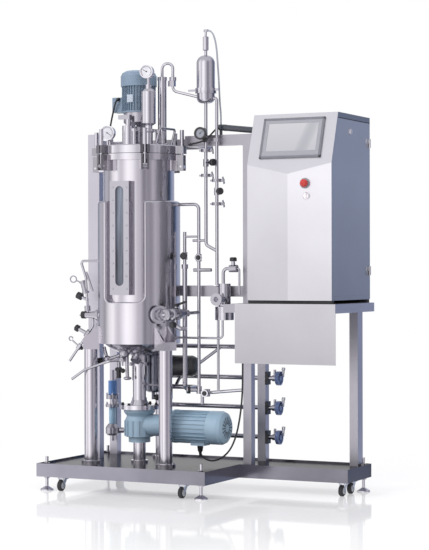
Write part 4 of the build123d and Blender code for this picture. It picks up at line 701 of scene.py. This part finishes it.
# ---------------------------------------------------------------- pipe fittings
FIXED_VALVES = (
    ("return", (-0.047, PIPE_Y, 1.054), -67.0, 0.042),
    ("drain", (-0.047, PIPE_Y, 0.452), -150.0, 0.049),
    ("bypass", (-0.008, 0.041, 0.440), -80.0, 0.040),
)
UNIONS = ((-0.010, 1.540), (-0.010, 1.427), (0.045, 1.403), (0.045, 1.297))


def pipe_details():
    """Black caps of the fixed valves, wing nuts, column grips and the drain wheels' stubs."""
    face_depth = 0.0093
    for name, centre, angle, reach in FIXED_VALVES:
        place = frame_on(Vector(centre) + along(angle) * (reach - face_depth), along(angle))

        def cap(build):
            side = [(0, 0), (0.0164, 0), (0.0168, 0.010), (0.0150, 0.0160)]
            add_turned(build, side + [(0.0100, 0.0190), (0, 0.0196)], place, 32)

        put(f"valve_cap_{name}", cap, BLACK)

    def wings(build):
        for x, level in UNIONS:
            nut = Matrix.Translation((x + 0.0330, PIPE_Y, level))
            add_turned(build, drum(0.0055, -0.007, 0.007), nut, 16)
            for side in (-1, 1):
                low, high = sorted((side * 0.004, side * 0.017))
                tilted = nut @ Matrix.Rotation(0.5, 4, "X")
                add_box(build, (-0.0016, -0.0055, low), (0.0016, 0.0055, high), tilted)

    put("wing_nuts", wings, CAST)

    def grips(build):
        left, right, front, back = 0.1773, 0.1905, 0.2640, 0.3000
        for level in DRAIN_LEVELS:
            for low, high in ((0.0115, 0.030), (-0.030, -0.0115)):
                add_box(build, (left, front, level + low), (right, back, level + high))
            add_box(build, (left, front, level - 0.012), (right, 0.2706, level + 0.012))

    put("column_grips", grips, BLACK, smooth=False)
    for number, level in enumerate(DRAIN_LEVELS, 1):
        def stub(build):
            up = frame_on((0.2560, 0.2900, level + 0.014), (0.12, 0, 1))
            outside = [(0, 0), (0.0068, 0), (0.0068, 0.022), (0.0082, 0.023), (0.0082, 0.036)]
            add_turned(build, outside + [(0.0050, 0.036), (0.0050, 0.030), (0, 0.030)], up, 20)
            add_box(build, (0.2480, 0.2830, level + 0.006), (0.2600, 0.2970, level + 0.022))

        put(f"wheel_stub_{number}", stub, ZINC, f"drain_handwheel_{number}")


# ---------------------------------------------------------------- port fittings
PORT_Y = -0.040
# Start and end of each rod as (x, z) on the ports' plane, and its radius.
SAMPLING_RODS = (
    ((-0.6130, 0.9420), (-0.6000, 0.8950), 0.0130),
    ((-0.6150, 0.9480), (-0.6125, 0.9400), 0.0170),
    ((-0.6005, 0.8990), (-0.5985, 0.8900), 0.0170),
    ((-0.5960, 0.9900), (-0.5600, 0.9000), 0.0050),
    ((-0.5900, 0.8330), (-0.5885, 0.8080), 0.0140),
    ((-0.6120, 0.9360), (-0.6500, 0.9500), 0.0035),
    ((-0.6040, 0.7900), (-0.6310, 0.7880), 0.0030),
    ((-0.5310, 0.7640), (-0.5310, 0.7440), 0.0060),
    ((-0.5440, 0.7440), (-0.5180, 0.7440), 0.0060),
    ((-0.5776, 0.7156), (-0.5984, 0.6884), 0.0130),
)
SAMPLING_GRIPS = (
    ((-0.6205, 0.8734), (-0.6420, 0.8829), 0.0166),
    ((-0.5985, 0.7900), (-0.6170, 0.7900), 0.0175),
)
PROBE_START, PROBE_END = Vector((-0.1226, -0.1641, 0.7970)), Vector((-0.0470, 0.0350, 0.8050))
PROBE_PROFILE = (
    (0, 0.006), (0.024, 0.006), (0.028, 0.010), (0.028, 0.022), (0.024, 0.026), (0.017, 0.029),
    (0.017, 0.038), (0.026, 0.043), (0.029, 0.050), (0.029, 0.083), (0.025, 0.092), (0.020, 0.110),
    (0.013, 0.128), (0.013, 0.132), (0.0155, 0.133), (0.0155, 0.145), (0.013, 0.147), (0.0076, 0.151),
    (0, 0.151),
)
PROBE_BEND = (
    (-0.090, -0.110, 0.775), (-0.090, -0.112, 0.748), (-0.068, -0.105, 0.735), (-0.045, -0.090, 0.735),
)
PROBE_STEM = (-0.0961, -0.0944)


def port_fittings():
    """Clamps, small valves and handles on the ports at the vessel's left and right."""
    def rods(build, table):
        for start, end, radius in table:
            add_rod(build, (start[0], PORT_Y, start[1]), (end[0], PORT_Y, end[1]), radius)

    def steel_parts(build):
        rods(build, SAMPLING_RODS)
        add_loop(build, (-0.6650, PORT_Y, 0.9560), (0.2, -1, 0), 0.0150, 0.0030)
        add_loop(build, (-0.6790, PORT_Y, 0.6790), (0.2, -1, 0), 0.0090, 0.0030, 1.5 * pi)

    def black_parts(build):
        rods(build, SAMPLING_GRIPS)
        add_ball(build, (-0.6250, PORT_Y + 0.006, 0.6350), 0.0090)

    put("sampling_fittings", steel_parts, CAST)
    put("sampling_grips", black_parts, BLACK)

    def holder(build):
        add_turned(build, PROBE_PROFILE, frame_on(PROBE_START, PROBE_END - PROBE_START), 32)
        add_tube(build, PROBE_BEND, 0.0090)
        add_rod(build, (*PROBE_STEM, 0.820), (*PROBE_STEM, 0.838), 0.0095)

    def handles(build):
        add_rod(build, (*PROBE_STEM, 0.8335), (*PROBE_STEM, 0.8465), 0.0130)
        add_rod(build, (*PROBE_STEM, 0.8400), (-0.0560, -0.0740, 0.8560), 0.0060, 0.0045)
        add_rod(build, (-0.0920, -0.1180, 0.7520), (-0.0990, -0.1380, 0.7520), 0.0130)

    put("probe_holder", holder, CAST)
    put("probe_handles", handles, BLACK)


# ---------------------------------------------------------------- under the vessel
POT = (-0.3236, 0.1100)
POT_PROFILE = (
    (0, 0.396), (0.008, 0.396), (0.008, 0.428), (0.024, 0.430), (0.037, 0.437), (0.0400, 0.449),
    (0.0400, 0.592), (0.037, 0.603), (0.024, 0.611), (0.010, 0.614), (0.010, 0.655), (0, 0.655),
)
HARVEST_TEE, HARVEST_BALL = (-0.4640, -0.0750, 0.5880), (-0.3740, -0.0780, 0.6150)
CUP = (-0.3583, -0.0750)
# Start, end and radius of each rod.
BRANCH_RODS = (
    ((-0.3137, -0.0700, 0.5950), (-0.3155, -0.0800, 0.5820), 0.0230),
    ((-0.3120, -0.0640, 0.6300), (-0.3137, -0.0740, 0.5900), 0.0120),
    ((-0.4122, -0.0600, 0.6050), (-0.4122, -0.0600, 0.5150), 0.0085),
    ((-0.3600, -0.0780, 0.6050), (*CUP, 0.5080), 0.0080),
)
HARVEST_LINE = ((-0.4842, -0.0700, 0.6440), (-0.4640, -0.0750, 0.5870), (-0.3740, -0.0800, 0.6150))
SEAL_LINE = (
    (-0.3020, -0.0500, 0.5750), (-0.2735, -0.0700, 0.5700), (-0.2720, -0.0700, 0.5250),
    (-0.2920, -0.0360, 0.4980),
)
GRIP_RODS = (
    ((-0.4940, -0.0710, 0.5820), (-0.5120, -0.0700, 0.5790), 0.0150),
    ((-0.4122, -0.0600, 0.5520), (-0.4122, -0.0600, 0.5020), 0.0110),
    ((-0.4260, -0.0640, 0.5420), (-0.3960, -0.0640, 0.5460), 0.0070),
)


def under_vessel():
    """The condensate pot, harvest branches and small valves that hang from the vessel's bottom."""
    pot_x, pot_y = POT

    def pot(build):
        outlet = ((pot_x, pot_y, 0.404), (-0.2300, pot_y, 0.404), (-0.2300, pot_y, 0.4520))
        add_turned(build, POT_PROFILE, Matrix.Translation((pot_x, pot_y, 0)), 48)
        add_tube(build, outlet, 0.0075)

    def branches(build):
        add_rod(build, (-0.3000, -0.0040, 0.4740), (-0.1560, -0.0900, 0.4760), 0.0040)
        add_tube(build, HARVEST_LINE, 0.0080)
        add_rod(build, HARVEST_TEE, (-0.4960, -0.0710, 0.5815), 0.0060)
        add_ball(build, HARVEST_TEE, 0.0180)
        add_ball(build, HARVEST_BALL, 0.0240)
        for start, end, radius in BRANCH_RODS:
            add_rod(build, start, end, radius)
        cup = [(0, 0.496), (0.012, 0.496), (0.018, 0.501), (0.018, 0.507), (0.010, 0.511), (0, 0.511)]
        add_turned(build, cup, Matrix.Translation((*CUP, 0)), 24)
        add_tube(build, SEAL_LINE, 0.0040)

    def grips(build):
        for start, end, radius in GRIP_RODS:
            add_rod(build, start, end, radius)
        add_ball(build, (-0.3760, -0.0860, 0.5380), 0.0110)
        knob = [(0, 0.393), (0.0175, 0.393), (0.0195, 0.397), (0.0195, 0.416), (0.0175, 0.420), (0, 0.420)]
        add_turned(build, knob, Matrix.Translation((-0.2930, pot_y, 0)), 24)

    put("condensate_pot", pot, DULL_STEEL)
    put("harvest_branches", branches, CAST)
    put("harvest_grips", grips, BLACK)


REAR_VALVE = (-0.6190, 0.2460)
REAR_STACK = (
    (PIPE, drum(0.009, 0.180, 0.520)),
    (PIPE_BLUE, drum(0.0200, 0.402, 0.468)),
    (CAST, [(0, 0.380), (0.0300, 0.380), (0.0300, 0.400), (0.012, 0.402), (0, 0.402)]),
    (CAST, drum(0.0330, 0.342, 0.356)),
    (PALE_BLUE, [(0, 0.262), (0.0150, 0.262), (0.0170, 0.270), (0.0170, 0.334), (0.0150, 0.342), (0, 0.342)]),
    (CAST, [(0, 0.206), (0.0240, 0.206), (0.0330, 0.216), (0.0330, 0.244), (0.0200, 0.262), (0, 0.262)]),
)


def rear_valves():
    """The condensate valves that hang in front of the corner column, with their flanges."""
    x, y = REAR_VALVE
    for number, (finish, profile) in enumerate(REAR_STACK, 1):
        def fill(build):
            add_turned(build, profile, Matrix.Translation((x, y, 0)), 32)

        put(f"rear_valve_{number}", fill, finish)
    for number, level in enumerate((0.356, 0.400), 1):
        flange = Matrix.Translation((x, y, level))
        bolt = hex_head(0.004, 0.010)
        ring(f"rear_valve_bolts_{number}", bolt, flange, ZINC, Count=4, Reach=0.0265, Step=pi / 2, Start=0.5)

    def branch(build):
        level, aim = 0.230, (1, 0.45, 0)
        add_turned(build, drum(0.008, 0, 0.0890), frame_on((x, y, level), aim), 20)
        add_turned(build, drum(0.014, 0, 0.022), frame_on((x + 0.030, y + 0.0135, level), aim), 20)

    put("rear_valve_branch", branch, PIPE)


# ---------------------------------------------------------------- cabinet and casters
def on_front(x, z):
    """The matrix that carries +Z at the origin outwards from the prow's right face."""
    run = CABINET_RIGHT - CABINET_MIDDLE
    y = CABINET_FRONT - PROW + (x - CABINET_MIDDLE) * PROW / run
    return frame_on((x, y, z), (PROW, -run, 0))


def on_panel():
    """The matrix that carries the origin to the middle of the slanted panel, with +Z outwards and +Y up."""
    y = CABINET_FRONT + (PANEL_LEVEL - CABINET_FOLD) * SLANT
    outward = Vector((0, -1, SLANT)).normalized()
    right = Vector((1, 0, 0))
    turn = Matrix((right, outward.cross(right), outward)).transposed().to_4x4()
    return Matrix.Translation((CABINET_MIDDLE, y, PANEL_LEVEL)) @ turn


def cabinet_details():
    """The panel's frame and lit screen, the top cover and its seam, and the two front controls' rings."""
    panel = on_panel()

    def outer_frame(build):
        half_x, half_y, wide, high = 0.1447, 0.0937, 0.0100, 0.0072
        for side in (-1, 1):
            a, b = sorted((side * half_x, side * (half_x - wide)))
            add_box(build, (a, -half_y, 0), (b, half_y, high), panel)
            a, b = sorted((side * half_y, side * (half_y - wide)))
            add_box(build, (-half_x, a, 0), (half_x, b, high), panel)

    def screen(build):
        add_box(build, (-0.1178, -0.0608, 0.0040), (0.1178, 0.0688, 0.0044), panel)

    put("panel_frame", outer_frame, FRAME_GREY, smooth=False)
    put("panel_screen", screen, SCREEN, smooth=False)
    inside, front, back, seam_low, seam_high = 0.6785, -0.0660, 0.3070, 1.6548, 1.6586
    seam = bar((inside, front, seam_low), (0.6794, back, seam_high))
    cover = bar((inside, front, seam_high), (0.6793, back, 1.6809))
    put("cover_seam", seam, DARK, smooth=False)
    put("cover_edge", cover, COVER, smooth=False)

    stop, selector, lift = on_front(0.559, 1.371), on_front(0.5655, 1.316), 0.0003

    def stop_collar(build):
        inner, outer, top = 0.0155, 0.0230, 0.0045
        rim = closed((inner, lift), (outer, lift), (outer, 0.0030), (0.0210, top), (inner, top))
        add_turned(build, rim, stop, 40)

    def selector_ring(build):
        inner, outer, top = 0.0124, 0.0150, 0.0085
        rim = closed((inner, lift), (outer, lift), (outer, 0.0060), (0.0132, top), (inner, top))
        add_turned(build, rim, selector, 40)

    def selector_face(build):
        add_turned(build, [(0, 0.0091), (0.0110, 0.0091), (0.0110, 0.0102), (0, 0.0106)], selector, 32)

    put("stop_collar", stop_collar, PANEL)
    put("selector_ring", selector_ring, CHROME)
    put("selector_face", selector_face, CHROME, "selector_knob")


def caster_hubs():
    """The pale hub discs on both sides of each wheel."""
    bore, outer, back, front = 0.0043, 0.0160, -0.001, 0.0002
    disc = closed((bore, back), (bore, front), (0.0150, front), (outer, -0.0006), (outer, back))
    for wheel, (x, y) in enumerate(CASTERS, 1):
        for number, side in enumerate((-1, 1), 1):
            def hub(build):
                place = frame_on((x + side * 0.0100, y - 0.018, 0.025), (side, 0, 0))
                add_turned(build, disc, place, 28)

            put(f"caster_hub_{wheel}_{number}", hub, MODULE, f"caster_wheel_{wheel}")


# ---------------------------------------------------------------- leads
LEAD_RADIUS = 0.004
KNUCKLE = Vector((0.045, 0.0786, 1.646))


def cord(name, points, finish=RUBBER):
    """A hanging lead on one smooth line through its route's control points."""
    curve = bpy.data.curves.new(name, "CURVE")
    curve.dimensions = "3D"
    curve.bevel_depth = LEAD_RADIUS
    curve.bevel_resolution = 4
    curve.resolution_u = 10
    curve.use_fill_caps = True
    spline = curve.splines.new("NURBS")
    spline.points.add(len(points) - 1)
    for knot, place in zip(spline.points, points):
        knot.co = (*place, 1.0)
    spline.order_u = 3
    spline.use_endpoint_u = True
    curve.materials.append(finish)
    piece = linked(name, curve)
    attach(piece, MACHINE)
    return piece


def machine_leads():
    """The drive lead, the lid motor's lead, the sensor lead, the filter's vent hose and their junction."""
    start_x, start_z, shelf_under = DRIVE_GLAND_X, 0.185, 0.810
    drive = cord(
        "drive_lead",
        (
            (start_x, VESSEL_Y, start_z), (start_x, VESSEL_Y, start_z - 0.036),
            (start_x + 0.090, -0.022, 0.132), (0.184, -0.080, 0.210), (0.244, -0.120, 0.400),
            (0.250, -0.127, 0.600), (0.250, -0.127, shelf_under),
        ),
    )
    top = cord(
        "lid_motor_lead",
        (
            (LID_GLAND_X, -0.034, LID_GLAND_Z), (LID_GLAND_X, -0.050, LID_GLAND_Z), (-0.436, -0.050, 1.760),
            (-0.470, -0.034, 1.660), (-0.478, -0.020, 1.634), (-0.478, -0.020, 1.604),
        ),
    )
    x, y, z = KNUCKLE
    sensor = cord(
        "sensor_lead",
        (
            (x - 0.008, y - 0.013, z - 0.004), (x - 0.008, y - 0.025, z - 0.004), (0.018, 0.030, 1.612),
            (0.008, 0.009, 1.588), (-0.030, 0.008, 1.576), (-0.080, 0.016, 1.570), (-0.100, 0.036, 1.570),
            (-0.100, 0.0586, 1.570),
        ),
    )
    vent_top = 2.084
    vent = cord(
        "vent_line",
        (
            (0.002, PIPE_Y, vent_top), (0.038, PIPE_Y, vent_top), (0.050, PIPE_Y + 0.012, vent_top - 0.214),
            (x, y - 0.012, z + 0.114), (x, y, z + 0.062), (x, y, z + 0.013),
        ),
        GREY_HOSE,
    )
    for lead in (drive, top, sensor):
        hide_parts("leads")
    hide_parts("vent_hose")

    def knuckle(build):
        half = Vector((0.013, 0.013, 0.013))
        add_box(build, KNUCKLE - half, KNUCKLE + half)
        bmesh.ops.bevel(build, geom=build.edges[:], offset=0.005, segments=3, affect="EDGES")
        run = Vector((0.2800 - x - 0.011, 0, -0.0254))
        reach = run.length
        conduit = [(0, 0), (0.0145, 0), (0.0150, 0.018), (0.0140, 0.020), (0.0140, reach), (0, reach)]
        add_turned(build, conduit, frame_on((x + 0.011, y, z - 0.001), run))
        add_turned(build, drum(0.007, 0, 0.034), frame_on((x, y, 1.611), (0, 0, 1)))

    box = put("junction_box", knuckle, CONDUIT)
    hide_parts("leads")


# ---------------------------------------------------------------- studio
# What polished metal shows round it: degrees to the right of TO_CAMERA as seen from the machine, and tone.
WALLS = (
    (-169, (0.96, 0.96, 0.97)), (-163, (0.36, 0.38, 0.46)), (-150, (0.30, 0.32, 0.40)),
    (-138, (0.62, 0.62, 0.68)), (-122, (0.66, 0.65, 0.70)), (-110, (0.42, 0.42, 0.46)),
    (-92, (1.15, 1.13, 1.15)), (-76, (1.50, 1.48, 1.50)), (-66, (1.02, 1.00, 1.04)),
    (-56, (0.86, 0.84, 0.88)), (-47, (1.18, 1.16, 1.20)), (-34, (1.60, 1.58, 1.60)),
    (-20, (1.42, 1.40, 1.42)), (-10, (1.10, 1.08, 1.12)), (-3, (0.80, 0.78, 0.83)),
    (9, (0.74, 0.72, 0.78)), (17, (0.24, 0.23, 0.27)), (27, (0.50, 0.48, 0.54)),
    (33, (0.34, 0.33, 0.38)), (40, (0.42, 0.40, 0.45)), (48, (0.70, 0.68, 0.74)),
    (55, (0.50, 0.48, 0.54)), (62, (0.74, 0.72, 0.77)), (72, (0.46, 0.45, 0.51)),
    (84, (0.56, 0.55, 0.62)), (95, (0.20, 0.21, 0.27)), (108, (0.05, 0.06, 0.10)),
    (119, (0.05, 0.07, 0.12)), (128, (0.20, 0.27, 0.44)), (138, (0.42, 0.47, 0.62)),
    (163, (0.46, 0.50, 0.62)), (169, (0.96, 0.96, 0.97)),
)
CEILING = (0.74, 0.74, 0.78, 1.0)
CEILING_START, CEILING_BLEND = 0.35, 0.45
WHITE = (1.0, 1.0, 1.0, 1.0)
PLAIN_LIGHT = 0.80
YAW = radians(26.262)
TO_CAMERA = (sin(YAW), -cos(YAW), 0.0)
TO_RIGHT = (cos(YAW), sin(YAW), 0.0)


def studio_world():
    """White to the eye, a soft studio to polished metal and one plain level of light for everything else."""
    world = bpy.data.worlds.new("studio")
    bpy.context.scene.world = world
    world.use_nodes = True
    world.node_tree.nodes.clear()
    tree = Tree(world.node_tree)
    way = tree.node("ShaderNodeTexCoord").out("Generated")
    dot, mix = {"operation": "DOT_PRODUCT"}, {"data_type": "RGBA"}
    toward = tree.node("ShaderNodeVectorMath", dot, {0: way, 1: TO_CAMERA}).out("Value")
    across = tree.node("ShaderNodeVectorMath", dot, {0: way, 1: TO_RIGHT}).out("Value")
    turn = across.math("ARCTAN2", across, toward) / (2 * pi) + 0.5
    stops = [((angle + 180) / 360, tone) for angle, tone in WALLS]
    walls = tree.node("ShaderNodeValToRGB", {"stops": stops}, {0: turn}).out()
    rise = tree.node("ShaderNodeSeparateXYZ", {}, {0: way}).out(2)
    above = ((rise - CEILING_START) / CEILING_BLEND).clamped()
    room = tree.node("ShaderNodeMix", mix, {0: above, 6: walls, 7: CEILING}).out(2)
    path = tree.node("ShaderNodeLightPath")
    plain = (PLAIN_LIGHT, PLAIN_LIGHT, PLAIN_LIGHT * 1.03, 1.0)
    seen = tree.node("ShaderNodeMix", mix, {0: path.out("Is Glossy Ray"), 6: plain, 7: room}).out(2)
    by_eye, through_glass = path.out("Is Camera Ray"), path.out("Is Transmission Ray")
    white = by_eye.math("MAXIMUM", by_eye, through_glass)
    shown = tree.node("ShaderNodeMix", mix, {0: white, 6: seen, 7: WHITE}).out(2)
    light = tree.node("ShaderNodeBackground", {}, {0: shown, 1: 1.0}).out()
    tree.node("ShaderNodeOutputWorld", {}, {0: light})


def studio_floor():
    """A pale floor that keeps the machine's shadow and a faint mirror image, and ends in white.

    Polished metal looks past most of it, into the studio's walls.
    """
    bpy.ops.mesh.primitive_plane_add(size=60.0, location=(0, 0, 0))
    floor = bpy.context.object
    floor.name = "studio_floor"
    finish = Finish("studio_floor")
    far = finish.node("ShaderNodeVectorMath", {"operation": "LENGTH"}, {0: finish.place}).out("Value")
    edge = ((far - 1.0) / 1.3).clamped()

    def blend(factor, first, second):
        return finish.node("ShaderNodeMixShader", {}, {0: factor, 1: first, 2: second}).out()

    pale = finish.node("ShaderNodeBsdfDiffuse", {}, {"Color": (0.93, 0.93, 0.94, 1.0)}).out()
    mirror = finish.node("ShaderNodeBsdfGlossy", {}, {"Color": WHITE, "Roughness": 0.06}).out()
    glow = finish.node("ShaderNodeEmission", {}, {0: WHITE, 1: 1.0}).out()
    near = blend(0.34, blend(0.52, pale, glow), mirror)
    seen = blend(edge, near, glow)
    clear = finish.node("ShaderNodeBsdfTransparent").out()
    from_metal = finish.node("ShaderNodeLightPath").out("Is Glossy Ray")
    past = from_metal * (edge * 0.4 + 0.6)
    finish.node("ShaderNodeOutputMaterial", {}, {0: blend(past, seen, clear)})
    floor.data.materials.append(finish.material)


def soft_lamp(name, place, target, size, watts):
    """A large square lamp aimed at the machine."""
    data = bpy.data.lights.new(name, "AREA")
    data.size = size
    data.energy = watts
    lamp = linked(name, data)
    lamp.location = place
    lamp.rotation_euler = (Vector(target) - Vector(place)).to_track_quat("-Z", "Y").to_euler()
    lamp.visible_glossy = False


def studio_lamps():
    """A soft key from the front left, a weaker fill from the right and a weak one from above."""
    middle = (0, 0, 0.9)
    soft_lamp("key", (-2.6, -4.2, 3.6), middle, 2.6, 150)
    soft_lamp("fill", (4.6, -3.0, 2.8), middle, 2.6, 60)
    soft_lamp("top", (0.2, 0.2, 4.6), middle, 3.0, 70)


def studio_camera():
    """The camera at waist height, a little to the machine's right."""
    data = bpy.data.cameras.new("camera")
    data.sensor_width = 36.0
    data.lens = 117.3
    data.clip_end = 100.0
    camera = linked("camera", data)
    pitch, roll = radians(-0.193), radians(-0.115)
    ahead = Vector((-sin(YAW) * cos(pitch), cos(YAW) * cos(pitch), sin(pitch)))
    right = Vector(TO_RIGHT)
    up = right.cross(ahead)
    right_rolled = right * cos(roll) + up * sin(roll)
    up_rolled = up * cos(roll) - right * sin(roll)
    turn = Matrix((right_rolled, up_rolled, -ahead)).transposed()
    camera.matrix_world = Matrix.Translation((3.6250, -7.2467, 1.0024)) @ turn.to_4x4()
    bpy.context.scene.camera = camera


dress_nodes()
vessel_bolts()
gauge_dials()
motor_details()
pipe_details()
port_fittings()
under_vessel()
rear_valves()
cabinet_details()
caster_hubs()
machine_leads()
studio_world()
studio_floor()
studio_lamps()
studio_camera()
bpy.context.scene.view_settings.view_transform = "Standard"
